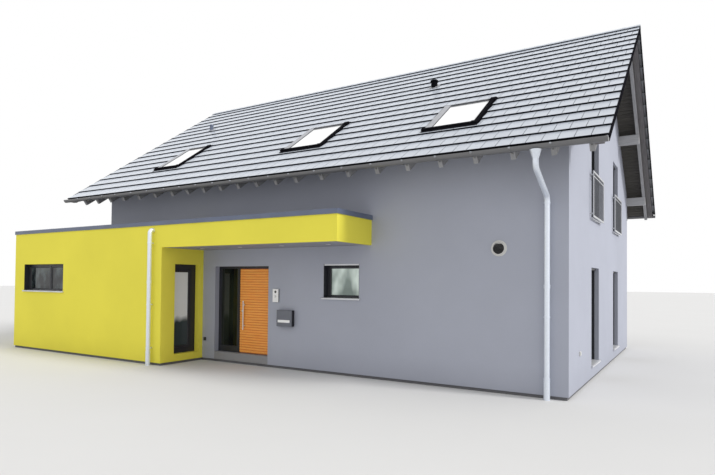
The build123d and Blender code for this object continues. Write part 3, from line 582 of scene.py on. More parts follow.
class Form:
    """A mesh in the making, drawn in the frame of one face of the house."""

    SHARP = math.radians(30)

    def __init__(self, side: Side = Side.HOUSE) -> None:
        """Starts an empty mesh in that face's frame."""
        self.side = side
        self.bm = bmesh.new()

    def loft(self, rings: Sequence[Sequence[Point]], closed: bool = False) -> None:
        """Skins rings of equal count.

        Args:
            rings: Corners of each ring, in order.
            closed: Whether the last ring joins the first. If not, both get a face.
        """
        rows = [[self.bm.verts.new(point) for point in ring] for ring in rings]
        pairs = list(zip(rows, rows[1:])) + ([(rows[-1], rows[0])] if closed else [])
        for near, far in pairs:
            for n in range(len(near)):
                m = (n + 1) % len(near)
                self.bm.faces.new((near[n], near[m], far[m], far[n]))
        if not closed:
            self.bm.faces.new(rows[0])
            self.bm.faces.new(rows[-1])

    def block(self, low: Point, high: Point, bevel: float = 0.0) -> None:
        """Makes a block.

        Args:
            low: Its corner with the least u, v and w.
            high: The opposite corner.
            bevel: How far its edges are eased.
        """
        middle = [(a + b) / 2 for a, b in zip(low, high)]
        size = [b - a for a, b in zip(low, high)]
        place = Matrix.Translation(middle) @ Matrix.Diagonal((*size, 1.0))
        made = bmesh.ops.create_cube(self.bm, size=1.0, matrix=place)
        if bevel:
            edges = list({edge for vert in made["verts"] for edge in vert.link_edges})
            bmesh.ops.bevel(self.bm, geom=edges, offset=bevel, segments=1, affect="EDGES", profile=0.5)

    def slab(self, patch: Patch, under: float, top: float, bevel: float = 0.0) -> None:
        """Makes a block over a rectangle, between two heights, its edges eased by a bevel."""
        self.block((patch.left, patch.low, under), (patch.right, patch.high, top), bevel)

    def bar(self, outline: Sequence[Pair], start: float, end: float) -> None:
        """Runs an outline in v and w along u."""
        self.loft([[(u, v, w) for v, w in outline] for u in (start, end)])

    def ring(self, edge: Patch, section: Sequence[Pair]) -> None:
        """Runs a section of inset and height round a rectangle, mitred at its corners."""
        self.loft([edge.inset(inset).corners(w) for inset, w in section], closed=True)

    def between(self, outer: Patch, inner: Patch, section: Sequence[Pair]) -> None:
        """Runs a section of share and height round the space between two rectangles."""
        self.loft([outer.toward(inner, share).corners(w) for share, w in section], closed=True)

    def turned(self, foot: Point, axis: Point, profile: Sequence[Pair], sides: int = 24) -> None:
        """Turns a profile of radius and height about an axis.

        Args:
            foot: Point that the heights are measured from.
            axis: Direction of the axis.
            profile: Radius and height of each ring.
            sides: Number of sides.
        """
        turn = Vector(axis).to_track_quat("Z", "X").to_matrix()
        rings = []
        for radius, height in profile:
            ring = []
            for n in range(sides):
                angle = 2 * math.pi * n / sides
                point = turn @ Vector((radius * math.cos(angle), radius * math.sin(angle), height))
                ring.append(tuple(point + Vector(foot)))
            rings.append(ring)
        self.loft(rings)

    def mesh(self, name: str) -> bpy.types.Mesh:
        """Closes the work: faces outward, smooth but for sharp edges, placed in the house's frame.

        Args:
            name: Name of the mesh.

        Returns:
            The finished mesh.
        """
        bmesh.ops.recalc_face_normals(self.bm, faces=self.bm.faces)
        for face in self.bm.faces:
            face.smooth = True
        for edge in self.bm.edges:
            if len(edge.link_faces) != 2 or edge.calc_face_angle(0.0) > self.SHARP:
                edge.smooth = False
        self.bm.transform(self.side.matrix)
        mesh = bpy.data.meshes.new(name)
        self.bm.to_mesh(mesh)
        self.bm.free()
        return mesh


@dataclass
class Spot:
    """One place of a repeated shape: where it is, its size along each axis and its turn in radians."""

    place: Point
    size: Point = (1.0, 1.0, 1.0)
    turn: Point = (0.0, 0.0, 0.0)


class Repeat(Tree):
    """Geometry Nodes tree that sets one shape at many places, each with a tone and a slight tilt."""

    INPUTS = (
        ("Shape", "NodeSocketObject"),
        ("Finish", "NodeSocketMaterial"),
        ("Tilt", "NodeSocketFloat"),
        ("Seed", "NodeSocketInt"),
    )
    TILT_SEED = 11.0

    def __init__(self, name: str) -> None:
        """Builds the tree.

        Args:
            name: Name of the tree.
        """
        super().__init__(bpy.data.node_groups.new(name, "GeometryNodeTree"))
        face = self.tree.interface
        face.new_socket("Geometry", in_out="INPUT", socket_type="NodeSocketGeometry")
        for label, kind in self.INPUTS:
            face.new_socket(label, in_out="INPUT", socket_type=kind)
        face.new_socket("Geometry", in_out="OUTPUT", socket_type="NodeSocketGeometry")
        given = self.add("NodeGroupInput").outputs
        shape = self.add("GeometryNodeObjectInfo", {"Object": given["Shape"]})
        placed = self.add("GeometryNodeInstanceOnPoints", {
            "Points": given["Geometry"],
            "Instance": shape.outputs["Geometry"],
            "Rotation": self.turn(given["Seed"], given["Tilt"]),
            "Scale": self.named("size"),
        })
        tone = self.add("FunctionNodeRandomValue", {2: 0.0, 3: 1.0, "Seed": given["Seed"]},
                        data_type="FLOAT")
        toned_shapes = self.add("GeometryNodeStoreNamedAttribute",
                                {"Geometry": placed.outputs[0], "Name": "tone", "Value": tone.outputs[1]},
                                data_type="FLOAT", domain="INSTANCE")
        real = self.add("GeometryNodeRealizeInstances", {"Geometry": toned_shapes.outputs[0]})
        dressed = self.add("GeometryNodeSetMaterial",
                           {"Geometry": real.outputs[0], "Material": given["Finish"]})
        self.add("NodeGroupOutput", {"Geometry": dressed.outputs[0]})

    def named(self, name: str) -> bpy.types.NodeSocket:
        """Reads a vector that each point carries."""
        node = self.add("GeometryNodeInputNamedAttribute", {"Name": name}, data_type="FLOAT_VECTOR")
        return node.outputs["Attribute"]

    def turn(self, seed: bpy.types.NodeSocket, tilt: bpy.types.NodeSocket) -> bpy.types.NodeSocket:
        """Adds a random tilt to the turn that each point carries.

        Args:
            seed: Seed of everything random in the tree.
            tilt: Largest tilt about each axis.

        Returns:
            The rotation of each copy.
        """
        own_seed = self.add("ShaderNodeMath", {0: seed, 1: self.TILT_SEED}, operation="ADD")
        drawn = self.add("FunctionNodeRandomValue",
                         {0: (-1.0, -1.0, -1.0), 1: (1.0, 1.0, 1.0), "Seed": own_seed.outputs[0]},
                         data_type="FLOAT_VECTOR")
        wobble = self.add("ShaderNodeVectorMath", {0: drawn.outputs[0], "Scale": tilt}, operation="SCALE")
        both = self.add("ShaderNodeVectorMath", {0: self.named("turn"), 1: wobble.outputs[0]},
                        operation="ADD")
        return self.add("FunctionNodeEulerToRotation", {0: both.outputs[0]}).outputs[0]

    def run(self, name: str, side: Side, shape: bpy.types.Mesh, spots: Sequence[Spot],
            finish: bpy.types.Material, tilt: float, seed: int) -> bpy.types.Mesh:
        """Sets the shape at every spot and gives a plain mesh.

        Args:
            name: Name of the mesh.
            side: Face whose frame the spots are given in.
            shape: Mesh that is repeated, about its own origin.
            spots: Places, sizes and turns.
            finish: Material of the result.
            tilt: Largest random turn, in radians.
            seed: Seed of everything random.

        Returns:
            The mesh in the house's frame.
        """
        points = bpy.data.meshes.new(name + "_points")
        points.from_pydata([spot.place for spot in spots], [], [])
        for label in ("size", "turn"):
            store = points.attributes.new(label, "FLOAT_VECTOR", "POINT")
            store.data.foreach_set("vector", [value for spot in spots for value in getattr(spot, label)])
        carrier = bpy.data.objects.new(name + "_points", points)
        pattern = bpy.data.objects.new(name + "_shape", shape)
        for item in (carrier, pattern):
            bpy.context.scene.collection.objects.link(item)
        modifier = carrier.modifiers.new("repeat", "NODES")
        modifier.node_group = self.tree
        values = {"Shape": pattern, "Finish": finish, "Tilt": tilt, "Seed": seed}
        for item in self.tree.interface.items_tree:
            if item.in_out == "INPUT" and item.name in values:
                modifier[item.identifier] = values[item.name]
        depsgraph = bpy.context.evaluated_depsgraph_get()
        made = bpy.data.meshes.new_from_object(carrier.evaluated_get(depsgraph))
        made.name = name
        made.transform(side.matrix)
        for item in (carrier, pattern):
            bpy.data.objects.remove(item)
        bpy.data.meshes.remove(points)
        return made


class Workshop:
    """Keeps the finishes and turns meshes into pieces of the house."""

    def __init__(self, nodes: dict[str, bpy.types.Object]) -> None:
        """Makes the finishes and the tree that repeats shapes.

        Args:
            nodes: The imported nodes, by name.
        """
        self.nodes = nodes
        self.finish = {finish.name: finish.make() for finish in FINISHES}
        self.repeat = Repeat("repeat_shape")

    def piece(self, mesh: bpy.types.Mesh, finish: str, slot: str, replaces: str = "",
              body: str = "house") -> None:
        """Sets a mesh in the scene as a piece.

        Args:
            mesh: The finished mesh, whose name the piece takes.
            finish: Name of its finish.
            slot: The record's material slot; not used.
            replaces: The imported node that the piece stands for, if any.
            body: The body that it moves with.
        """
        mesh.materials.clear()
        mesh.materials.append(self.finish[finish])
        item = bpy.data.objects.new(mesh.name, mesh)
        bpy.context.scene.collection.objects.link(item)
        if replaces:
            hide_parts(replaces)
        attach(item, body)
        LOG.info("%s: %d faces on %s", item.name, len(mesh.polygons), body)

    def repeated(self, name: str, side: Side, shape: bpy.types.Mesh, spots: Sequence[Spot], finish: str,
                 tilt: float = 0.0, seed: int = 1) -> bpy.types.Mesh:
        """Sets a shape at every spot, as Repeat.run does, with the finish given by its name."""
        return self.repeat.run(name, side, shape, spots, self.finish[finish], tilt, seed)

    def dress(self, finish: str, *names: str) -> None:
        """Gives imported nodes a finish.

        Args:
            finish: Name of the finish.
            names: Names of the nodes.
        """
        for name in names:
            mesh = self.nodes[name].data
            mesh.materials.clear()
            mesh.materials.append(self.finish[finish])
            LOG.info("%s: dressed with %s", name, finish)


@dataclass
class Assembly:
    """A part of the house that makes its own pieces in the workshop."""

    shop: Workshop


# Roof


@dataclass
class RoofCover(Assembly):
    """Flat concrete tiles in staggered courses, with black strips of painted shadow under each course, laps,
    combs, drip sheets and ridge caps.
    """

    holes: Sequence[Patch]
    courses: int = 17
    columns: int = 56
    tile_length: float = 0.436
    gap: float = 0.007
    nose: float = 0.024
    fall: float = 0.031
    tilt: float = 0.0022
    lap_width: float = 0.028
    strip: float = 0.008
    shadow_strip_ahead: float = 0.006
    comb: Patch = Patch(-VERGE_X + 0.030, VERGE_X - 0.030, 0.045, 0.075)
    comb_heights: Pair = (-0.0455, -0.026)
    sheet_end: float = 0.045
    caps: int = 42
    cap_half: float = 0.130
    cap_rise: float = 0.0255
    cap_lap: float = 0.012

    @property
    def gauge(self) -> float:
        """Height of a course up the slope."""
        return SLOPE_LENGTH / self.courses

    def tile_shape(self) -> bpy.types.Mesh:
        """A unit tile with eased edges, whose drip edge carries the value edge, which marks where shade is
        painted.

        Returns:
            The tile's mesh.
        """
        form = Form()
        head_depth = -0.45
        rings = []
        for side, drip, z in ((0.0, 0.0, -1.0), (0.0, 0.0, -0.14), (0.012, 0.006, 0.0)):
            head = max(z, head_depth)
            rings.append([(side - 0.5, drip, z), (0.5 - side, drip, z), (0.5 - side, 1.0, head),
                          (side - 0.5, 1.0, head)])
        form.loft(rings)
        mesh = form.mesh("tile_shape")
        # the value edge marks the drip edge, where the tile finish paints shade
        edge = mesh.attributes.new("edge", "FLOAT", "POINT")
        for n, vert in enumerate(mesh.vertices):
            edge.data[n].value = 1.0 if vert.co.y < 0.001 and vert.co.z < -0.1 else 0.0
        return mesh

    def tile_spots(self, holes: Sequence[Patch]) -> list[Spot]:
        """Lays the tiles of one slope, every second course half a tile to the side.

        Args:
            holes: Rectangles that stay free of tiles.

        Returns:
            Place, size and turn of every tile.
        """
        lean = math.atan2(self.fall, self.tile_length)
        width = 2 * VERGE_X / self.columns
        spots = []
        for course in range(self.courses):
            low = course * self.gauge
            high = min(low + self.tile_length, SLOPE_LENGTH - 0.002)
            shift = 0.5 * (course % 2)
            joints = [-VERGE_X + width * (n + shift) for n in range(-1, self.columns + 1)]
            joints = [-VERGE_X] + [x for x in joints if abs(x) < VERGE_X - 0.01] + [VERGE_X]
            tiles = [Patch(a, b, low, high) for a, b in zip(joints, joints[1:])]
            for tile in cleared(tiles, holes):
                drop = self.fall * (tile.low - low) / self.tile_length
                spots.append(Spot(
                    ((tile.left + tile.right) / 2, tile.low, -drop),
                    (tile.right - tile.left - self.gap, (tile.high - tile.low) / math.cos(lean), self.nose),
                    (-lean, 0.0, 0.0),
                ))
        return spots

    def verge_laps(self, side: Side, name: str) -> bpy.types.Mesh:
        """Folds a straight lap down both ends of a slope.

        Args:
            side: The slope.
            name: Name of the mesh.

        Returns:
            Both laps as one mesh.
        """
        form = Form(side)
        section = ((-0.003, -0.012), (-0.003, -0.132), (0.001, -0.136), (0.010, -0.136), (0.012, -0.132),
                   (0.012, -0.040), (self.lap_width, -0.040), (self.lap_width, -0.033), (0.0015, -0.033),
                   (0.0015, -0.012))
        for end in (-1, 1):
            form.loft([[(end * (VERGE_X - inset), v, w) for inset, w in section]
                       for v in (0.002, SLOPE_LENGTH - 0.020)])
        return form.mesh(name)

    def shadow_strip_spots(self, holes: Sequence[Patch]) -> list[Spot]:
        """Runs a black strip of painted shadow under the drip edge of every course.

        Args:
            holes: Rectangles that stay free of strips.

        Returns:
            Place and size of every strip.
        """
        spots = []
        for course in range(self.courses):
            low = course * self.gauge
            for part in cleared([Patch(-VERGE_X + 0.004, VERGE_X - 0.004, low, low + 0.04)], holes):
                spots.append(Spot(((part.left + part.right) / 2, low - self.shadow_strip_ahead, -0.0015),
                                  (part.right - part.left, self.strip, self.nose + 0.003)))
        return spots

    def gap_shape(self) -> bpy.types.Mesh:
        """A unit strip of painted shadow with its upper edge eased.

        Returns:
            The strip's mesh.
        """
        form = Form()
        form.bar(((1.0, 0.0), (0.25, 0.0), (0.0, -0.12), (0.0, -1.0), (1.0, -1.0)), -0.5, 0.5)
        return form.mesh("gap_shape")

    def cap_shape(self) -> bpy.types.Mesh:
        """A ridge cap of unit length: an angled tile with a rounded crown and a collar at one end.

        Returns:
            The cap's mesh.
        """
        form = Form()
        slope = math.tan(PITCH)
        rings = []
        for x, grow in ((-0.5, 0.0), (0.30, 0.0), (0.32, 0.005), (0.5, 0.005)):
            half = self.cap_half - 0.006 + grow
            steps = [-half, -0.6 * half, -0.22 * half, 0.0, 0.22 * half, 0.6 * half, half]
            outline = [(y, self.cap_rise - 0.006 + grow) for y in steps]
            outline += [(y * 0.94, self.cap_rise - 0.022) for y in steps[::-1]]
            rings.append([(x, y, crown - slope * math.hypot(y, 0.012)) for y, crown in outline])
        form.loft(rings)
        return form.mesh("ridge_cap_shape")

    def drip_sheet(self, slope: Slope) -> None:
        """Makes the folded sheet that leads from under the tiles into the gutter.

        Args:
            slope: The slope that it drains.
        """
        outline = ((5.520, 4.397), (5.612, 4.333), (5.634, 4.327), (5.644, 4.262), (5.641, 4.262),
                   (5.631, 4.324), (5.611, 4.330), (5.520, 4.394))
        outline = [(slope.sign * y, z) for y, z in outline]
        form = Form()
        form.bar(outline, -VERGE_X + self.sheet_end, VERGE_X - self.sheet_end)
        self.shop.piece(form.mesh(f"{slope.value}_drip_sheet"), "frame_anthracite", "zinc")

    def cover(self, slope: Slope, holes: Sequence[Patch]) -> None:
        """Covers one slope.

        Args:
            slope: The slope.
            holes: Rectangles that stay free of tiles.
        """
        end, side = slope.value, slope.side
        tiles = self.shop.repeated(f"{end}_slope_tiles", side, self.tile_shape(), self.tile_spots(holes),
                                   "roof_tile_concrete", self.tilt, seed=5)
        self.shop.piece(tiles, "roof_tile_concrete", "roof_tile", f"{end}_roof_tiles")
        self.shop.piece(self.verge_laps(side, f"{end}_verge_laps"), "dark_concrete_edge", "roof_tile")
        # black strips under the drip edges paint the shadow between the courses
        shadow_strips = self.shop.repeated(f"{end}_course_gaps", side, self.gap_shape(), self.shadow_strip_spots(holes),
                                  "dark_concrete_edge")
        self.shop.piece(shadow_strips, "dark_concrete_edge", "roof_tile")
        comb = Form(side)
        comb.slab(self.comb, *self.comb_heights, 0.002)
        self.shop.piece(comb.mesh(f"{end}_eave_comb"), "dark_plastic", "roof_tile")
        self.drip_sheet(slope)

    def build(self) -> None:
        """Covers both slopes and lays the caps along the ridge."""
        self.cover(Slope.FRONT, self.holes)
        self.cover(Slope.REAR, ())
        pitch = 2 * VERGE_X / self.caps
        spots = [Spot((-VERGE_X + pitch * (n + 0.5), 0.0, RIDGE_Z), (pitch + self.cap_lap, 1.0, 1.0))
                 for n in range(self.caps)]
        caps = self.shop.repeated("ridge_caps", Side.HOUSE, self.cap_shape(), spots, "roof_tile_concrete",
                                  seed=3)
        self.shop.piece(caps, "roof_tile_concrete", "roof_tile", "ridge_tiles")


@dataclass
class RoofBoards(Assembly):
    """Tongued boards under the tiles, with a V joint between them and butt joints over the rafters."""

    holes: Sequence[Patch]
    rafters: Sequence[float]
    width: float = 0.121
    top: float = -0.045
    depth: float = 0.060
    half_length: float = 6.94
    low: float = 0.024
    joint: float = 0.0016
    joints_within: float = 6.0
    joints_in_row: int = 3
    row_seed: int = 4

    def shape(self) -> bpy.types.Mesh:
        """A unit board whose lower edges are cut to a V.

        Returns:
            The board's mesh.
        """
        form = Form()
        form.bar(((0.0, 0.0), (1.0, 0.0), (1.0, -0.86), (0.93, -1.0), (0.07, -1.0), (0.0, -0.86)), -0.5, 0.5)
        return form.mesh("board_shape")

    def spots(self, holes: Sequence[Patch]) -> list[Spot]:
        """Lays the boards of one slope in lengths that end on rafters.

        Args:
            holes: Rectangles that stay free of boards.

        Returns:
            Place and size of every board.
        """
        draw = random.Random(self.row_seed)
        rows = int((SLOPE_LENGTH - self.low) / self.width)
        width = (SLOPE_LENGTH - self.low) / rows
        spots = []
        for row in range(rows):
            low = self.low + row * width
            joints = sorted(draw.sample(list(self.rafters), self.joints_in_row))
            joints = [x for x in joints if abs(x) < self.joints_within]
            ends = [-self.half_length, *joints, self.half_length]
            gap = self.joint / 2
            boards = [Patch(a + gap, b - gap, low, low + width) for a, b in zip(ends, ends[1:])]
            for board in cleared(boards, holes):
                size = (board.right - board.left, board.high - board.low, self.depth - 0.002)
                spots.append(Spot(((board.left + board.right) / 2, board.low, self.top), size))
        return spots

    def build(self) -> None:
        """Makes the boards of both slopes."""
        for slope, holes in ((Slope.FRONT, self.holes), (Slope.REAR, ())):
            boards = self.shop.repeated(f"{slope.value}_eave_boards", slope.side, self.shape(),
                                        self.spots(holes), "stained_boards", seed=6)
            self.shop.piece(boards, "stained_boards", "roof_boards", f"{slope.value}_roof_deck")


@dataclass
class RoofWindows(Assembly):
    """Centre-hung roof windows: covers, black profiles that paint shade at the right side and foot, seals,
    near-white panes that paint the sky's reflection, troughs and pleated aprons.
    """

    places: Sequence[Pair] = ((-4.300, 0.940), (0.370, 1.140), (4.080, 1.140))
    middle: float = 2.120
    length: float = 1.400
    frame: float = 0.095
    rise: float = 0.026
    depth: float = 0.105
    trough: float = 0.030
    drop: float = 0.050
    sheet: float = -0.030
    pleat: float = 0.030
    reach: float = 0.105

    def patches(self, margin: float = 0.0, below: float = 0.0, above: float = 0.0) -> list[Patch]:
        """Gives the openings, widened by a margin at the sides and more below and above.

        Args:
            margin: Added at either side.
            below: Added at the foot.
            above: Added at the head.

        Returns:
            A rectangle for each window.
        """
        low, high = self.middle - self.length / 2, self.middle + self.length / 2
        return [Patch(x - width / 2 - margin, x + width / 2 + margin, low - below, high + above)
                for x, width in self.places]

    @property
    def tile_holes(self) -> list[Patch]:
        """Gives the rectangles that stay free of tiles."""
        return self.patches(self.trough, self.drop + 0.02, 0.05)

    def cover(self, form: Form, outer: Patch, inner: Patch) -> None:
        """Adds the stepped cover round the glass of one window.

        Args:
            form: Mesh that takes it.
            outer: Outer edge of the cover.
            inner: Edge of the glass.
        """
        top, foot = self.rise, -0.035
        form.between(outer, inner, [
            (0.0, foot), (0.0, top - 0.008), (0.04, top - 0.002), (0.10, top), (0.30, top),
            (0.33, top - 0.005), (0.37, top - 0.005), (0.40, top), (0.85, top), (0.90, top - 0.006),
            (1.0, top - 0.010), (1.0, foot)])

    def profile(self, form: Form, outer: Patch, inner: Patch) -> None:
        """Adds black profiles and corner pieces at the right side and the foot of one window only, as
        painted shade.

        Args:
            form: Mesh that takes them.
            outer: Outer edge of the window's cover.
            inner: Edge of its glass.
        """
        top = self.rise + 0.003
        left, right, low, high = outer.left, outer.right, outer.low, outer.high
        # painted shade: black bars and blocks only at the right side and the foot
        bars = (
            Patch(inner.right + 0.004, right + 0.003, low, inner.high),
            Patch(left + 0.020, right + 0.003, low - 0.004, inner.low - 0.004),
            Patch(inner.left, inner.right + 0.050, inner.high + 0.012, inner.high + 0.055),
        )
        for bar in bars:
            form.slab(bar, self.sheet, top, 0.003)
        corners = (
            (Patch(left - 0.050, left + 0.190, low - 0.014, low + 0.062), 0.006),
            (Patch(inner.right - 0.050, right + 0.008, low - 0.008, inner.low + 0.014), 0.006),
            (Patch(inner.right - 0.010, right + 0.034, inner.high - 0.010, high + 0.020), 0.010),
        )
        for corner, more in corners:
            form.slab(corner, self.sheet, top + more, 0.005)

    def troughs(self, form: Form, hole: Patch) -> None:
        """Adds the side troughs and the head sheet of one window.

        Args:
            form: Mesh that takes them.
            hole: The window's opening.
        """
        past_head = hole.high + 0.050
        for side, edge in ((-1, hole.left), (1, hole.right)):
            floor = sorted((edge, edge + side * (self.trough - 0.003)))
            form.slab(Patch(*floor, hole.low, past_head), -0.034, -0.028)
            lip = sorted((edge + side * (self.trough - 0.008), edge + side * (self.trough - 0.003)))
            form.slab(Patch(*lip, hole.low, past_head), self.sheet, 0.002, 0.001)
            upstand = sorted((edge, edge + side * 0.004))
            form.slab(Patch(*upstand, hole.low, hole.high), self.sheet, 0.010, 0.001)
        head = Patch(hole.left - self.trough, hole.right + self.trough, hole.high, hole.high + 0.055)
        form.slab(head, self.sheet, 0.001)

    def apron(self, form: Form, hole: Patch) -> None:
        """Adds the pleated apron under one window.

        Args:
            form: Mesh that takes it.
            hole: The window's opening.
        """
        foot, half = hole.low - self.drop, self.pleat / 2
        count = int((hole.right - hole.left + 2 * self.trough) / self.pleat)
        start = (hole.left + hole.right - count * self.pleat) / 2
        for n in range(count):
            left = start + n * self.pleat
            form.loft([
                [(left, v, w + 0.001), (left + half, v, w + 0.005), (left + self.pleat, v, w + 0.001),
                 (left + self.pleat, v, w - 0.001), (left + half, v, w + 0.003), (left, v, w - 0.001)]
                for v, w in ((foot - self.reach, 0.0005), (foot - 0.020, 0.002), (foot + 0.001, 0.012))
            ])

    def build(self) -> None:
        """Makes the three windows."""
        casing, seals, panes, flashing = (Form(Side.FRONT_SLOPE) for _ in range(4))
        for hole in self.patches():
            casing.ring(hole, [(0.001, -self.depth), (0.001, -0.036), (self.frame, -0.036),
                               (self.frame, -self.depth)])
            outer = Patch(hole.left + 0.006, hole.right - 0.004, hole.low - self.drop, hole.high - 0.030)
            inner = Patch(hole.left + 0.160, hole.right - 0.085, hole.low + 0.035, hole.high - 0.140)
            self.cover(casing, outer, inner)
            seals.ring(inner, [(-0.002, self.rise - 0.034), (-0.002, self.rise - 0.009),
                               (0.010, self.rise - 0.017), (0.010, self.rise - 0.034)])
            panes.slab(inner, self.rise - 0.042, self.rise - 0.020)
            self.profile(flashing, outer, inner)
            self.troughs(flashing, hole)
            self.apron(flashing, hole)
        self.shop.piece(casing.mesh("roof_window_casings"), "roof_window_casing", "dark_frame",
                        "roof_window_frames")
        self.shop.piece(seals.mesh("roof_window_seals"), "seal_rubber", "dark_frame")
        # the panes are opaque and near white: a painted reflection of the sky
        self.shop.piece(panes.mesh("roof_window_glass"), "roof_window_blind", "window_glass",
                        "roof_window_panes")
        self.shop.piece(flashing.mesh("roof_window_flashings"), "black_flashing", "dark_frame")


@dataclass(frozen=True)
class VentPipe:
    """A vent pipe through the front slope: its place on the slope, its radius and how high it stands."""

    name: str
    finish: str
    u: float
    v: float
    radius: float
    height: float
    replaces: str = ""


@dataclass
class RoofVents(Assembly):
    """Vent pipes with a flashing plate and a cowl, plumb above the front slope."""

    pipes: Sequence[VentPipe] = (
        VentPipe("left_roof_vent_cowl", "coping_coating", -5.315, 4.570, 0.055, 0.150, "roof_vents"),
        VentPipe("right_roof_vent_cowl", "black_flashing", 2.555, 4.710, 0.080, 0.140),
    )

    def cowl(self, pipe: VentPipe) -> None:
        """Makes one pipe with its cowl and its clamp.

        Args:
            pipe: The pipe's sizes.
        """
        form = Form()
        radius, height = pipe.radius, pipe.height
        foot = tuple(Side.FRONT_SLOPE.matrix @ Vector((pipe.u, pipe.v, 0.0)))
        crown = [(1.20, 0.22), (0.95, 0.42), (0.50, 0.56)]
        form.turned(foot, (0, 0, 1), [
            (radius, -radius * 0.66), (radius, height * 0.80), (radius * 1.22, height * 0.84),
            (radius * 1.25, height), *((radius * wide, height + radius * up) for wide, up in crown),
            (0.004, height + radius * 0.6)])
        clamp = ((1.06, 0.30), (1.10, 0.32), (1.10, 0.38), (1.06, 0.40))
        form.turned(foot, (0, 0, 1), [(radius * wide, height * up) for wide, up in clamp])
        self.shop.piece(form.mesh(pipe.name), pipe.finish, "vent_plastic", pipe.replaces)

    def plate(self, form: Form, pipe: VentPipe) -> None:
        """Adds the stepped plate at the foot of one pipe.

        Args:
            form: Mesh that takes it.
            pipe: The pipe's sizes.
        """
        half = pipe.radius * 1.5
        rings = []
        for share, w in ((1.0, -0.012), (1.0, 0.003), (0.70, 0.008), (0.62, 0.012)):
            wide = half * share
            rings.append(Patch(pipe.u - wide, pipe.u + wide, pipe.v - wide, pipe.v + 1.4 * wide).corners(w))
        form.loft(rings)

    def build(self) -> None:
        """Makes both vents."""
        plates = Form(Side.FRONT_SLOPE)
        for pipe in self.pipes:
            self.cowl(pipe)
            self.plate(plates, pipe)
        self.shop.piece(plates.mesh("roof_vent_plates"), "roof_window_casing", "vent_plastic")


# Openings


@dataclass(frozen=True)
class Opening:
    """A window's hole in a face, and what fills it.

    The profile holds the widths of its frame and sash. Wider holds how much broader the frame is at the
    left, the right, the foot and the head.
    """

    side: Side
    centre: float
    width: float
    low: float
    high: float
    mullion: float | None = None
    shutter: bool = False
    profile: Pair = (0.050, 0.042)
    sill: bool = True
    lined: bool = False
    headed: bool = False
    wider: tuple[float, float, float, float] = (0.0, 0.0, 0.0, 0.0)

    @property
    def hole(self) -> Patch:
        """The opening itself."""
        return Patch(self.centre - self.width / 2, self.centre + self.width / 2, self.low, self.high)

    @property
    def clear(self) -> Patch:
        """What the frame leaves free.

        Returns:
            The rectangle within the frame.
        """
        hole, frame = self.hole, self.profile[0]
        left, right, low, high = (frame + more for more in self.wider)
        return Patch(hole.left + left, hole.right - right, hole.low + low, hole.high - high)


TALL_WIDTH = 1.040
GROUND_ROW = (0.280, 2.385)
UPPER_ROW = (3.400, 5.330)
GABLE_CENTRES = (-1.79, 1.79)
REAR_CENTRES = (-4.4, -1.5, 1.5, 4.4)
OPENINGS = (
    Opening(Side.FRONT, 1.680, 0.922, 1.640, 2.422, lined=True, headed=True),
    Opening(Side.ANNEX, -7.566, 1.972, 1.665, 2.455, -7.440, lined=True),
    Opening(Side.RECESS, -5.275, 0.777, 0.230, 2.430, profile=(0.050, 0.042), sill=False,
            wider=(0.030, 0.130, 0.090, 0.100)),
    *(Opening(Side.RIGHT, centre, TALL_WIDTH, *row, shutter=True)
      for row in (GROUND_ROW, UPPER_ROW) for centre in GABLE_CENTRES),
    *(Opening(Side.LEFT, centre, TALL_WIDTH, *UPPER_ROW, shutter=True) for centre in GABLE_CENTRES),
    Opening(Side.LEFT, GABLE_CENTRES[0], TALL_WIDTH, *GROUND_ROW, shutter=True),
    *(Opening(Side.REAR, centre, TALL_WIDTH, *GROUND_ROW, shutter=True) for centre in REAR_CENTRES),
)


def joined(name: str, meshes: Sequence[bpy.types.Mesh]) -> bpy.types.Mesh:
    """Joins meshes into one.

    Args:
        name: Name of the result.
        meshes: Meshes in the house's frame, which are used up.

    Returns:
        The joined mesh.
    """
    bm = bmesh.new()
    for mesh in meshes:
        bm.from_mesh(mesh)
        bpy.data.meshes.remove(mesh)
    result = bpy.data.meshes.new(name)
    bm.to_mesh(result)
    bm.free()
    return result


@dataclass(frozen=True)
class WindowPart:
    """A kind of part that all windows share: its piece's name, finish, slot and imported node."""

    piece: str
    finish: str
    slot: str
    replaces: str = ""


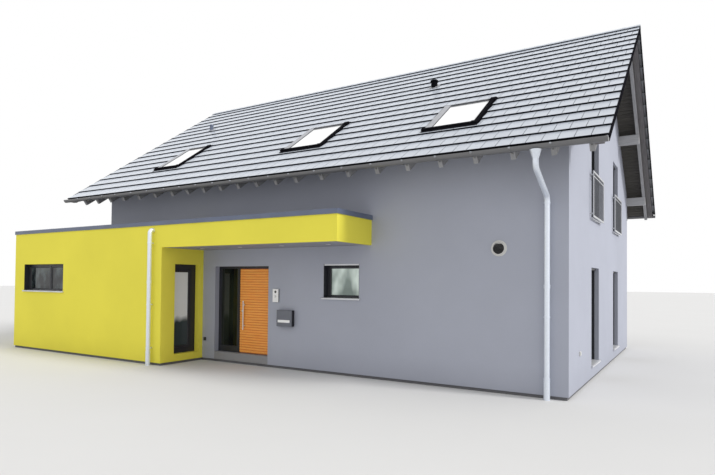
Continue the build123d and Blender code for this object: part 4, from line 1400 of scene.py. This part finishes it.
@dataclass
class Windows(Assembly):
    """Frames, sashes, seals, glass, sills, linings and shutter guides of the wall windows."""

    inset: float = 0.140
    depth: float = 0.080
    guide: float = 0.022
    lining_width: float = 0.010
    sill_height: float = 0.045
    sill_reach: float = 0.040
    sill_end: float = 0.028

    PARTS: ClassVar[dict[str, WindowPart]] = {
        "frames": WindowPart("window_casements", "frame_anthracite", "dark_frame", "window_frames"),
        "seals": WindowPart("window_seals", "seal_rubber", "dark_frame"),
        "panes": WindowPart("window_glazing", "window_glass", "window_glass", "window_panes"),
        "street_panes": WindowPart("street_window_glazing", "street_window_glass", "window_glass"),
        "annex_panes": WindowPart("annex_window_glazing", "annex_window_glass", "window_glass"),
        "tall_panes": WindowPart("tall_window_glazing", "tall_window_glass", "window_glass"),
        "sills": WindowPart("window_sill_sheets", "sill_aluminium", "sill_metal", "window_sills"),
        "guides": WindowPart("shutter_guides", "frame_anthracite", "dark_frame"),
    }
    PANES: ClassVar[dict[Side, str]] = {
        Side.FRONT: "street_panes",
        Side.ANNEX: "annex_panes",
        Side.RECESS: "tall_panes",
    }

    def lights(self, opening: Opening) -> list[Patch]:
        """Gives the rectangle of each light within the frame.

        Args:
            opening: The window's hole.

        Returns:
            One rectangle, or two where the window has a mullion.
        """
        clear, half = opening.clear, opening.profile[0] / 2
        if opening.mullion is None:
            return [clear]
        return [Patch(clear.left, opening.mullion - half, clear.low, clear.high),
                Patch(opening.mullion + half, clear.right, clear.low, clear.high)]

    def window(self, opening: Opening, frames: Form, seals: Form, panes: Form) -> None:
        """Adds one window.

        Args:
            opening: The hole that it fills.
            frames: Takes the frame and the sashes.
            seals: Takes the seals.
            panes: Takes the glass.
        """
        face, back = -self.inset, -self.inset - self.depth
        frame, sash = opening.profile
        frames.between(opening.hole, opening.clear, [
            (0.0, back), (0.0, face), (0.94, face), (1.0, face - 0.003), (1.0, back)])
        if opening.mullion is not None:
            post = Patch(opening.mullion - frame / 2, opening.mullion + frame / 2,
                         opening.low + frame - 0.001, opening.high - frame + 0.001)
            frames.slab(post, back + 0.001, face - 0.0005, 0.002)
        for light in self.lights(opening):
            frames.ring(light, [
                (0.001, back + 0.008), (0.001, face - 0.011), (0.004, face - 0.008),
                (sash - 0.011, face - 0.008), (sash - 0.001, face - 0.018), (sash, face - 0.020),
                (sash, back + 0.008)])
            seals.ring(light, [
                (sash - 0.002, face - 0.028), (sash - 0.002, face - 0.0185),
                (sash + 0.006, face - 0.0235), (sash + 0.006, face - 0.028)])
            panes.slab(light.inset(sash), face - 0.054, face - 0.026)

    def sill(self, opening: Opening, form: Form) -> None:
        """Adds a folded sheet sill with upturned ends.

        Args:
            opening: The window's hole.
            form: Mesh that takes the sill.
        """
        hole, foot = opening.hole, opening.low
        form.bar([(foot + 0.002, -self.inset), (foot + 0.044, -self.inset), (foot + 0.036, 0.0),
                  (foot + 0.002, 0.0)], hole.left, hole.right)
        form.bar([(foot + 0.030, 0.0), (foot + 0.0385, 0.0), (foot + 0.0335, 0.034), (foot + 0.0315, 0.0395),
                  (foot + 0.001, self.sill_reach), (foot + 0.001, 0.0375), (foot + 0.028, 0.036)],
                 hole.left - self.sill_end, hole.right + self.sill_end)
        for end in (hole.left - 0.030, hole.right + 0.026):
            form.block((end, foot + 0.001, 0.0), (end + 0.004, foot + 0.0445, self.sill_reach), 0.001)

    def uprights(self, opening: Opening, form: Form, width: float, face: float, bevel: float) -> None:
        """Adds an upright at either side of an opening, from the window out to a face.

        Args:
            opening: The window's hole.
            form: Mesh that takes them.
            width: Their width.
            face: Height of their face above the wall's.
            bevel: How far their edges are eased.
        """
        hole = opening.hole
        for left in (hole.left, hole.right - width):
            upright = Patch(left, left + width, hole.low + self.sill_height, hole.high)
            form.slab(upright, -self.inset, face, bevel)

    def guides(self, opening: Opening, form: Form) -> None:
        """Adds the shutter's side guides and its closed box at the head.

        Args:
            opening: The window's hole.
            form: Mesh that takes them.
        """
        hole = opening.hole
        self.uprights(opening, form, self.guide, -0.092, 0.0015)
        box = Patch(hole.left + self.guide, hole.right - self.guide, hole.high - 0.045, hole.high)
        form.slab(box, -self.inset + 0.001, -0.060, 0.002)

    def head_strip(self, opening: Opening, form: Form) -> None:
        """Adds the pale end rail of the blind at the head of the opening.

        Args:
            opening: The window's hole.
            form: Mesh that takes it.
        """
        hole = opening.hole
        rail = Patch(hole.left + 0.011, hole.right - 0.011, hole.high - 0.034, hole.high - 0.001)
        form.slab(rail, -0.050, -0.006, 0.003)

    def build(self) -> None:
        """Makes all windows, one piece for each kind of part."""
        meshes: dict[str, list[bpy.types.Mesh]] = {kind: [] for kind in self.PARTS}
        for n, opening in enumerate(OPENINGS):
            forms = {kind: Form(opening.side) for kind in self.PARTS}
            panes = forms[self.PANES.get(opening.side, "panes")]
            self.window(opening, forms["frames"], forms["seals"], panes)
            if opening.sill:
                self.sill(opening, forms["sills"])
            if opening.headed:
                self.head_strip(opening, forms["sills"])
            if opening.shutter:
                self.guides(opening, forms["guides"])
            if opening.lined:
                self.uprights(opening, forms["guides"], self.lining_width, -0.004, 0.001)
            for kind, form in forms.items():
                meshes[kind].append(form.mesh(f"{kind}_{n}"))
        for kind, part in self.PARTS.items():
            self.shop.piece(joined(part.piece, meshes[kind]), part.finish, part.slot, part.replaces)


@dataclass
class Balustrades(Assembly):
    """Guard rails of the upper gable windows: flat rails, round bars, brackets and bolts."""

    width: float = 1.500
    low: float = 3.430
    high: float = 4.400
    gap: float = 0.060
    thickness: float = 0.020
    rail: float = 0.040
    bar_radius: float = 0.006
    bars: int = 13

    def rails(self, form: Form, edge: Patch) -> None:
        """Adds the rails, posts, brackets and bolts of one balustrade.

        Args:
            form: Mesh that takes them.
            edge: Outer edge of the balustrade.
        """
        near, far = self.gap, self.gap + self.thickness
        for low in (edge.low, edge.high - self.rail):
            form.slab(Patch(edge.left, edge.right, low, low + self.rail), near, far, 0.002)
        middle = Patch(edge.left + self.rail, edge.right - self.rail, edge.high - 0.120, edge.high - 0.100)
        form.slab(middle, near + 0.002, far - 0.002, 0.0015)
        for left in (edge.left, edge.right - self.rail):
            right = left + self.rail
            form.slab(Patch(left, right, edge.low + self.rail, edge.high - self.rail), near, far, 0.002)
            for foot in (edge.low + 0.060, edge.high - 0.100):
                form.slab(Patch(left + 0.005, right - 0.005, foot, foot + 0.030), 0.004, near, 0.001)
                form.slab(Patch(left - 0.004, right + 0.004, foot - 0.012, foot + 0.042), 0.0, 0.005, 0.001)
                form.turned((left + self.rail / 2, foot + 0.015, far - 0.001), (0, 0, 1),
                            [(0.008, 0.0), (0.008, 0.004), (0.005, 0.006)], 6)

    def infill(self, side: Side, edge: Patch) -> bpy.types.Mesh:
        """Makes the round bars of one balustrade.

        Args:
            side: The gable that it stands on.
            edge: Outer edge of the balustrade.

        Returns:
            The bars as one mesh.
        """
        bar = Form()
        bar.turned((0, 0, 0), (0, 1, 0), [(self.bar_radius, 0.0), (self.bar_radius, 1.0)], 8)
        step = (self.width - self.rail) / (self.bars + 1)
        first, foot = edge.left + self.rail / 2, edge.low + self.rail - 0.002
        size = (1.0, edge.high - edge.low - 2 * self.rail + 0.004, 1.0)
        spots = [Spot((first + step * (n + 1), foot, self.gap + self.thickness / 2), size)
                 for n in range(self.bars)]
        # the bars take the dark copy of the rail metal, as painted shade
        return self.shop.repeated("bars", side, bar.mesh("bar_shape"), spots, "rail_bars")

    def build(self) -> None:
        """Makes the rails of both gables."""
        rails, infill = [], []
        for side in (Side.RIGHT, Side.LEFT):
            for centre in GABLE_CENTRES:
                edge = Patch(centre - self.width / 2, centre + self.width / 2, self.low, self.high)
                form = Form(side)
                self.rails(form, edge)
                rails.append(form.mesh("rails"))
                infill.append(self.infill(side, edge))
        self.shop.piece(joined("guard_rails", rails), "rail_galvanised", "rail_metal", "window_balustrades")
        self.shop.piece(joined("guard_rail_bars", infill), "rail_bars", "rail_metal")


# Entrance


@dataclass
class Entrance(Assembly):
    """The front door with its slats, handle and seals, and the fixed frame with its sidelight."""

    left: float = -2.120
    head: float = 2.390
    foot: float = 0.250
    jamb: float = 0.084
    head_jamb: float = 0.050
    sidelight_right: float = -1.406
    sidelight_rail: float = 0.150
    leaf: Patch = Patch(-1.396, -0.460, 0.256, 2.334)
    face: float = -4.602
    board: float = 0.005
    slat_inset: float = 0.006
    slat_back: float = 0.004
    slat_depth: float = 0.010
    slat: float = 0.046
    pitch: float = 0.062
    rows: int = 33
    handle_inset: float = 0.150
    handle_low: float = 0.830
    handle_high: float = 1.540
    handle_radius: float = 0.015
    post: float = 0.045
    post_inset: float = 0.100
    lock_inset: float = 0.088
    lock_height: float = 1.290

    def slats(self) -> None:
        """Makes the horizontal timber slats and the board behind them."""
        field = self.leaf.inset(self.slat_inset)
        middle_x, middle_z = (field.left + field.right) / 2, (field.low + field.high) / 2
        shape = Form()
        shape.bar(((0.0, -0.5), (-0.55, -0.5), (-0.86, -0.42), (-1.0, -0.30), (-1.0, 0.30), (-0.86, 0.42),
                   (-0.55, 0.5), (0.0, 0.5)), -0.5, 0.5)
        spots = []
        for n in range(self.rows):
            z = middle_z + self.pitch * (n - (self.rows - 1) / 2)
            spots.append(Spot((middle_x, self.face - self.slat_back, z),
                              (field.right - field.left, self.slat_depth, self.slat)))
        slats = self.shop.repeated("door_slats", Side.HOUSE, shape.mesh("slat_shape"), spots, "door_larch",
                                   seed=8)
        self.shop.piece(slats, "door_larch", "door_wood", "front_door_slats", "door")
        # the board behind the slats is a darker copy of the larch, painted shade in the gaps
        back = Form()
        back.block((field.left, self.face - self.board, field.low),
                   (field.right, self.face, field.high), 0.001)
        self.shop.piece(back.mesh("door_slat_board"), "door_gap_board", "door_wood", body="door")

    def handle(self) -> None:
        """Makes the bar handle with its posts, and the lock plate."""
        front = self.face - self.slat_back - self.slat_depth
        x, height = self.leaf.left + self.handle_inset, self.handle_high - self.handle_low
        form = Form()
        form.turned((x, front - self.post, self.handle_low), (0, 0, 1), [
            (self.handle_radius - 0.003, 0.0), (self.handle_radius, 0.003),
            (self.handle_radius, height - 0.003), (self.handle_radius - 0.003, height)])
        for z in (self.handle_low + self.post_inset, self.handle_high - self.post_inset):
            form.turned((x, front, z), (0, -1, 0), [
                (0.018, 0.0), (0.018, 0.003), (0.0105, 0.004), (0.0105, self.post)], 20)
        form.turned((self.leaf.left + self.lock_inset, front + 0.0005, self.lock_height), (0, -1, 0), [
            (0.026, 0.0), (0.026, 0.006), (0.023, 0.008), (0.009, 0.008), (0.009, 0.011)])
        self.shop.piece(form.mesh("door_bar_handle"), "brushed_steel", "steel", "front_door_handle", "door")

    def seals(self) -> None:
        """Makes the seals of the sidelight."""
        form = Form(Side.FRONT)
        pane = Patch(self.left + self.jamb, self.sidelight_right - self.jamb,
                     self.foot + self.sidelight_rail, self.head - self.head_jamb)
        form.ring(pane, [(-0.001, -0.168), (-0.001, -0.157), (0.008, -0.163), (0.008, -0.168)])
        self.shop.piece(form.mesh("sidelight_seals"), "seal_rubber", "dark_frame")

    def build(self) -> None:
        """Dresses and makes the entrance."""
        self.shop.dress("frame_anthracite", "entrance_frame")
        self.shop.dress("threshold_stone", "entrance_threshold")
        self.shop.dress("door_leaf_coating", "front_door")
        self.shop.dress("brushed_steel", "front_door_hinges")
        self.shop.dress("sidelight_glass", "sidelight_pane")
        self.slats()
        self.handle()
        self.seals()


# Walls and flat roof


@dataclass
class Shell(Assembly):
    """Walls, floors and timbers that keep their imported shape."""

    NODES: ClassVar[dict[str, tuple[str, ...]]] = {
        "grey_render": ("front_wall_left", "front_wall_right", "front_wall_over_door", "rear_wall",
                        "right_gable_wall", "left_gable_wall"),
        "yellow_render": ("annex_front_wall", "annex_left_wall", "annex_rear_wall", "annex_right_wall",
                          "canopy_fascia"),
        # the recessed plinth is painted dark, as the shade of its shadow gap
        "plinth_render": ("plinth",),
        "floor_screed": ("ground_floor", "upper_floor"),
        "roof_membrane": ("annex_roof", "canopy_slab"),
        "soffit_panel": ("canopy_ceiling",),
        "coping_coating": ("roof_coping",),
        "painted_rafters": ("front_rafters", "rear_rafters"),
        "painted_purlins": ("purlins", "rafter_blocking"),
        # the bargeboards take a darker timber colour, as painted shade
        "verge_boards": ("bargeboards",),
    }

    def build(self) -> None:
        """Dresses them."""
        for finish, nodes in self.NODES.items():
            self.shop.dress(finish, *nodes)


@dataclass
class FlatRoof(Assembly):
    """Coping straps, membrane laps and downlights of the annex and canopy."""

    left: float = -9.050
    right: float = 2.440
    top: float = 3.440
    foot: float = 3.340
    fascia: float = 0.060
    strap: float = 0.060
    strap_out: float = 0.0215
    strap_in: float = 0.3205
    front_straps: Sequence[float] = (-7.1, -5.2, -3.3, -1.4, 0.5)
    side_straps: Sequence[float] = (-4.1, -2.1)
    downlights: int = 4
    soffit: float = 2.810
    membrane: float = 3.1595
    lap: float = 0.050
    annex_laps: Sequence[float] = (-3.9, -2.8, -1.7)
    annex_lap_end: float = -6.420
    front_lap: float = -5.0
    front_lap_end: float = -2.600

    def straps(self) -> None:
        """Makes the cover straps over the coping's joints."""
        form = Form()
        half, under, over = self.strap / 2, self.foot - 0.001, self.top + 0.0015
        for x in self.front_straps:
            strap = Patch(x - half, x + half, ANNEX_Y - self.strap_out, ANNEX_Y + self.strap_in)
            form.slab(strap, under, over, 0.001)
        for y in self.side_straps:
            strap = Patch(self.left - self.strap_out, self.left + self.strap_in, y - half, y + half)
            form.slab(strap, under, over, 0.001)
        self.shop.piece(form.mesh("coping_joint_straps"), "coping_coating", "coping_metal")

    def lights(self) -> None:
        """Makes the downlights' rims and lenses."""
        rims, lenses = Form(), Form()
        reach = self.right - self.fascia - RECESS_X
        for n in range(self.downlights):
            place = (RECESS_X + reach * (n + 0.5) / self.downlights, (ANNEX_Y + self.fascia - WALL_Y) / 2,
                     self.soffit)
            rims.turned(place, (0, 0, -1), [
                (0.055, 0.0), (0.055, 0.004), (0.052, 0.006), (0.044, 0.006), (0.040, 0.0)], 32)
            lenses.turned(place, (0, 0, -1), [(0.041, 0.0), (0.041, 0.002), (0.030, 0.0035)], 32)
        self.shop.piece(rims.mesh("downlight_rims"), "brushed_steel", "light_metal", "canopy_downlights")
        self.shop.piece(lenses.mesh("downlight_lenses"), "light_lens", "light_metal")

    def laps(self) -> None:
        """Makes the welded laps of the roof membrane."""
        form = Form()
        start = self.left + 0.330
        ends = [(self.front_lap, self.front_lap_end), *((y, self.annex_lap_end) for y in self.annex_laps)]
        for y, end in ends:
            form.slab(Patch(start, end, y, y + self.lap), self.membrane, self.membrane + 0.004, 0.001)
        self.shop.piece(form.mesh("membrane_laps"), "roof_membrane", "roof_membrane")

    def build(self) -> None:
        """Makes all of them."""
        self.straps()
        self.lights()
        self.laps()


@dataclass
class Rainwater(Assembly):
    """Gutter seams, hook tips, pipe sockets and the standpipes at the ground."""

    rafters: Sequence[float]
    pipe_radius: float = 0.0505
    pipes: Sequence[Pair] = ((6.055, -4.855), (6.055, 4.855), (-2.850, -6.175))
    sockets: Sequence[Pair] = ((0.0, 0.340), (1.950, 0.065))
    gutter_y: float = 5.692
    gutter_z: float = 4.2885
    seams: Sequence[float] = (-4.9, -1.9, 1.1, 4.1)
    seam: float = 0.040
    seam_outside: float = 0.0705
    seam_inside: float = 0.0682
    seam_steps: int = 12
    hook_y: float = 5.760
    hook_z: float = 4.288
    hook: float = 0.032

    def pipe_sockets(self) -> None:
        """Makes the standpipes and the sockets above them."""
        form = Form()
        radius = self.pipe_radius
        for x, y in self.pipes:
            for foot, tall in self.sockets:
                form.turned((x, y, foot), (0, 0, 1), [
                    (radius, 0.0), (radius + 0.005, 0.0), (radius + 0.005, tall - 0.012),
                    (radius + 0.008, tall - 0.010), (radius + 0.008, tall - 0.002), (radius, tall)], 32)
        self.shop.piece(form.mesh("pipe_sockets"), "pipe_zinc", "zinc")

    def gutter_seams(self) -> None:
        """Makes the soldered seams round the half-round gutters."""
        form = Form()
        turns = [math.pi * n / self.seam_steps for n in range(self.seam_steps + 1)]
        for side in (-1, 1):
            outside, inside = ([(side * self.gutter_y + radius * math.cos(turn),
                                 self.gutter_z - radius * math.sin(turn)) for turn in turns]
                               for radius in (self.seam_outside, self.seam_inside))
            for x in self.seams:
                form.bar(outside + inside[::-1], x - self.seam / 2, x + self.seam / 2)
        self.shop.piece(form.mesh("gutter_seams"), "gutter_zinc", "zinc")

    def hook_tips(self) -> None:
        """Makes the bent tip of every gutter hook."""
        form = Form()
        outline = ((-0.012, -0.010), (0.003, -0.018), (0.006, 0.0), (0.002, 0.008), (-0.014, 0.008))
        form.bar(outline, -self.hook / 2, self.hook / 2)
        spots = [Spot((x, side * self.hook_y, self.hook_z), (1.0, side, 1.0))
                 for side in (-1, 1) for x in self.rafters]
        hooks = self.shop.repeated("gutter_hook_tips", Side.HOUSE, form.mesh("hook_shape"), spots,
                                   "pipe_zinc")
        self.shop.piece(hooks, "pipe_zinc", "zinc")

    def build(self) -> None:
        """Dresses the gutters and pipes and makes what they carry."""
        # the gutters take the darker zinc, which paints their shade and dark reflection
        self.shop.dress("gutter_zinc", "gutters", "gutter_brackets")
        self.shop.dress("pipe_zinc", "downpipes", "downpipe_clips")
        self.pipe_sockets()
        self.gutter_seams()
        self.hook_tips()


@dataclass
class WallFittings(Assembly):
    """Mailbox, intercom, outdoor sockets and the round vent."""

    box: Patch = Patch(-0.020, 0.420, 0.990, 1.370)
    box_depth: float = 0.120
    panel: Patch = Patch(-0.2125, -0.0375, 1.540, 1.850)
    slots: int = 5
    slot_pitch: float = 0.011
    front_socket: Patch = Patch(-2.492, -2.408, 0.503, 0.587)
    gable_socket: Patch = Patch(-3.753, -3.669, 0.674, 0.758)
    vent_place: Pair = (5.168, 2.680)
    vent_radius: float = 0.150
    blades: int = 8
    blade_pitch: float = 0.024

    def mailbox(self) -> None:
        """Makes the mailbox: a folded body painted near black as its shaded sides, a front with a slot flap,
        and a blank plate.
        """
        box, depth = self.box, self.box_depth
        body = Form(Side.FRONT)
        body.slab(box.inset(0.004), 0.0, depth - 0.028, 0.006)
        body.slab(box.inset(0.010), depth - 0.029, depth - 0.022, 0.002)
        # painted shade: the body's sides are near black, the front mid grey
        self.shop.piece(body.mesh("mailbox_body"), "mailbox_side_coating", "box_metal", "mailbox")
        front = Form(Side.FRONT)
        front.slab(box, depth - 0.0225, depth - 0.004, 0.006)
        flap = Patch(box.left + 0.020, box.right - 0.020, box.high - 0.016, box.high - 0.010)
        front.slab(flap, depth - 0.0045, depth - 0.001, 0.0015)
        self.shop.piece(front.mesh("mailbox_front"), "mailbox_front_coating", "box_metal")
        plate = Form(Side.FRONT)
        blank = Patch(box.left + 0.040, box.right - 0.052, box.low + 0.092, box.low + 0.152)
        plate.slab(blank, depth - 0.0045, depth, 0.0015)
        self.shop.piece(plate.mesh("mailbox_plate"), "blank_plate", "box_metal")

    def intercom(self) -> None:
        """Makes the intercom's plate, lens, bell push and speaker slots."""
        panel, face = self.panel, 0.0355
        middle = (panel.left + panel.right) / 2
        plate = Form(Side.FRONT)
        plate.slab(panel, 0.026, face + 0.0005, 0.004)
        push = Patch(middle - 0.034, middle + 0.034, panel.low + 0.045, panel.low + 0.085)
        plate.slab(push, face, 0.039, 0.002)
        self.shop.piece(plate.mesh("intercom_plate"), "intercom_plate", "steel", "intercom")
        housing = Form(Side.FRONT)
        housing.slab(panel.inset(0.003), 0.0, 0.0265, 0.003)
        housing.turned((middle, panel.high - 0.068, face), (0, 0, 1), [
            (0.031, 0.0), (0.031, 0.0015), (0.026, 0.003), (0.012, 0.0038)], 28)
        for n in range(self.slots):
            low = panel.low + 0.112 + self.slot_pitch * n
            housing.slab(Patch(middle - 0.026, middle + 0.026, low, low + 0.003), face, 0.0363)
        self.shop.piece(housing.mesh("intercom_housing"), "dark_plastic", "steel")

    def sockets(self) -> None:
        """Makes the two outdoor sockets with their lids."""
        for name, side, edge, finish, replaces in (
                ("front_socket_lid", Side.FRONT, self.front_socket, "dark_plastic", "outdoor_sockets"),
                ("gable_socket_lid", Side.RIGHT, self.gable_socket, "light_plastic", "")):
            form = Form(side)
            form.slab(edge, 0.0, 0.020, 0.003)
            form.slab(edge.inset(0.006), 0.019, 0.030, 0.004)
            self.shop.piece(form.mesh(name), finish, "vent_plastic", replaces)

    def vent(self) -> None:
        """Makes the round vent: a flanged rim and sloping blades."""
        (u, v), radius = self.vent_place, self.vent_radius
        rim = Form(Side.FRONT)
        rim.turned((u, v, 0.0), (0, 0, 1), [
            (radius, 0.0), (radius, 0.008), (radius * 0.86, 0.014), (radius * 0.80, 0.045),
            (radius * 0.72, 0.045), (radius * 0.70, 0.004)], 40)
        blade = Form()
        blade.bar(((0.0, 0.0), (-0.020, 0.030), (-0.023, 0.029), (-0.003, -0.001)), -0.5, 0.5)
        spots = []
        for n in range(self.blades):
            level = self.blade_pitch * (n - (self.blades - 1) / 2)
            chord = 2 * math.sqrt((radius * 0.715) ** 2 - level ** 2)
            spots.append(Spot((u, v + level, 0.006), (chord, 1.0, 1.0)))
        blades = self.shop.repeated("round_vent_blades", Side.FRONT, blade.mesh("blade_shape"), spots,
                                    "dark_plastic")
        self.shop.piece(rim.mesh("round_vent_rim"), "light_plastic", "vent_plastic", "wall_vent")
        self.shop.piece(blades, "dark_plastic", "vent_plastic")

    def build(self) -> None:
        """Makes all fittings."""
        self.mailbox()
        self.intercom()
        self.sockets()
        self.vent()


# Studio


@dataclass
class Studio:
    """Camera, lights, world and floor."""

    eye: Point = (8.286, -14.894, 2.031)
    heading: float = math.radians(31.38)
    pitch: float = math.radians(1.2194)
    roll: float = math.radians(0.5449)
    lens: float = 27.955
    sensor: float = 36.0
    shift: float = 0.0457
    sight: float = 400.0
    ambient: float = 0.86
    sun: float = 2.1
    sun_from: Point = (0.80, 0.08, 0.60)
    sun_width: float = math.radians(14)
    sun_colour: Colour = (1.0, 0.985, 0.96)
    floor_colour: Colour = (0.66, 0.66, 0.66)
    floor_reach: float = 160.0

    def camera(self) -> None:
        """Sets the camera where the photograph was taken from, turned as it was."""
        right = Vector((math.cos(self.heading), math.sin(self.heading), 0.0))
        level = Vector((-math.sin(self.heading), math.cos(self.heading), 0.0))
        forward = level * math.cos(self.pitch) + Vector((0, 0, math.sin(self.pitch)))
        up = Vector((0, 0, math.cos(self.pitch))) - level * math.sin(self.pitch)
        x_axis = right * math.cos(self.roll) + up * math.sin(self.roll)
        y_axis = up * math.cos(self.roll) - right * math.sin(self.roll)
        turn = Matrix((x_axis, y_axis, -forward)).transposed()
        data = bpy.data.cameras.new("camera")
        data.lens, data.sensor_width, data.shift_y = self.lens, self.sensor, self.shift
        data.clip_end = self.sight
        camera = bpy.data.objects.new("camera", data)
        camera.matrix_world = Matrix.Translation(self.eye) @ turn.to_4x4()
        bpy.context.scene.collection.objects.link(camera)
        bpy.context.scene.camera = camera

    def light(self) -> None:
        """Makes an even sky, white where it is seen or mirrored, and one soft sun."""
        world = bpy.data.worlds.new("studio")
        world.use_nodes = True
        world.node_tree.nodes.clear()
        tree = Tree(world.node_tree)
        path = tree.add("ShaderNodeLightPath").outputs
        seen = path["Is Camera Ray"]
        for name in ("Is Glossy Ray", "Is Transmission Ray"):
            seen = tree.add("ShaderNodeMath", {0: seen, 1: path[name]}, operation="MAXIMUM").outputs[0]
        white = (1.0, 1.0, 1.0, 1.0)
        dim, full = (tree.add("ShaderNodeBackground", {"Color": white, "Strength": strength}).outputs[0]
                     for strength in (self.ambient, 1.0))
        mix = tree.add("ShaderNodeMixShader", {0: seen, 1: dim, 2: full})
        tree.add("ShaderNodeOutputWorld", {"Surface": mix.outputs[0]})
        bpy.context.scene.world = world
        data = bpy.data.lights.new("soft_sun", "SUN")
        data.energy, data.angle, data.color = self.sun, self.sun_width, self.sun_colour
        sun = bpy.data.objects.new("soft_sun", data)
        sun.matrix_world = Vector(self.sun_from).to_track_quat("Z", "Y").to_matrix().to_4x4()
        bpy.context.scene.collection.objects.link(sun)

    def floor(self) -> None:
        """Lays the pale floor."""
        mesh = bpy.data.meshes.new("floor")
        reach = self.floor_reach
        mesh.from_pydata(Patch(-reach, reach, -reach, reach).corners(0.0), [], [(0, 1, 2, 3)])
        graph = Graph("floor_paint")
        tone = graph.fit(graph.noise(0.4, 3), 0.3, 0.7)
        graph.colour(graph.blend(tone, toned(self.floor_colour, 0.985), self.floor_colour))
        mesh.materials.append(graph.settle(Roughness=0.9, Specular_IOR_Level=0.1))
        floor = bpy.data.objects.new("floor", mesh)
        bpy.context.scene.collection.objects.link(floor)

    def build(self) -> None:
        """Sets up the whole studio."""
        bpy.context.scene.view_settings.view_transform = "Standard"
        self.camera()
        self.light()
        self.floor()


def rafter_lines() -> list[float]:
    """Works out where the rafters lie.

    Returns:
        The X of every rafter on the main house, from right to left.
    """
    lines = [FIRST_RAFTER]
    for count, bay in RAFTER_BAYS:
        for _ in range(count):
            lines.append(lines[-1] - bay)
    return lines


def main() -> None:
    """Builds the house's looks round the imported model."""
    logging.basicConfig(level=logging.INFO, format="%(name)s: %(message)s")
    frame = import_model()
    shop = Workshop(frame["nodes"])
    windows = RoofWindows(shop)
    Studio().build()
    Shell(shop).build()
    RoofCover(shop, windows.tile_holes).build()
    RoofBoards(shop, windows.patches(), rafter_lines()).build()
    windows.build()
    RoofVents(shop).build()
    Rainwater(shop, rafter_lines()).build()
    FlatRoof(shop).build()
    Windows(shop).build()
    Balustrades(shop).build()
    Entrance(shop).build()
    WallFittings(shop).build()


if __name__ == "__main__":
    main()
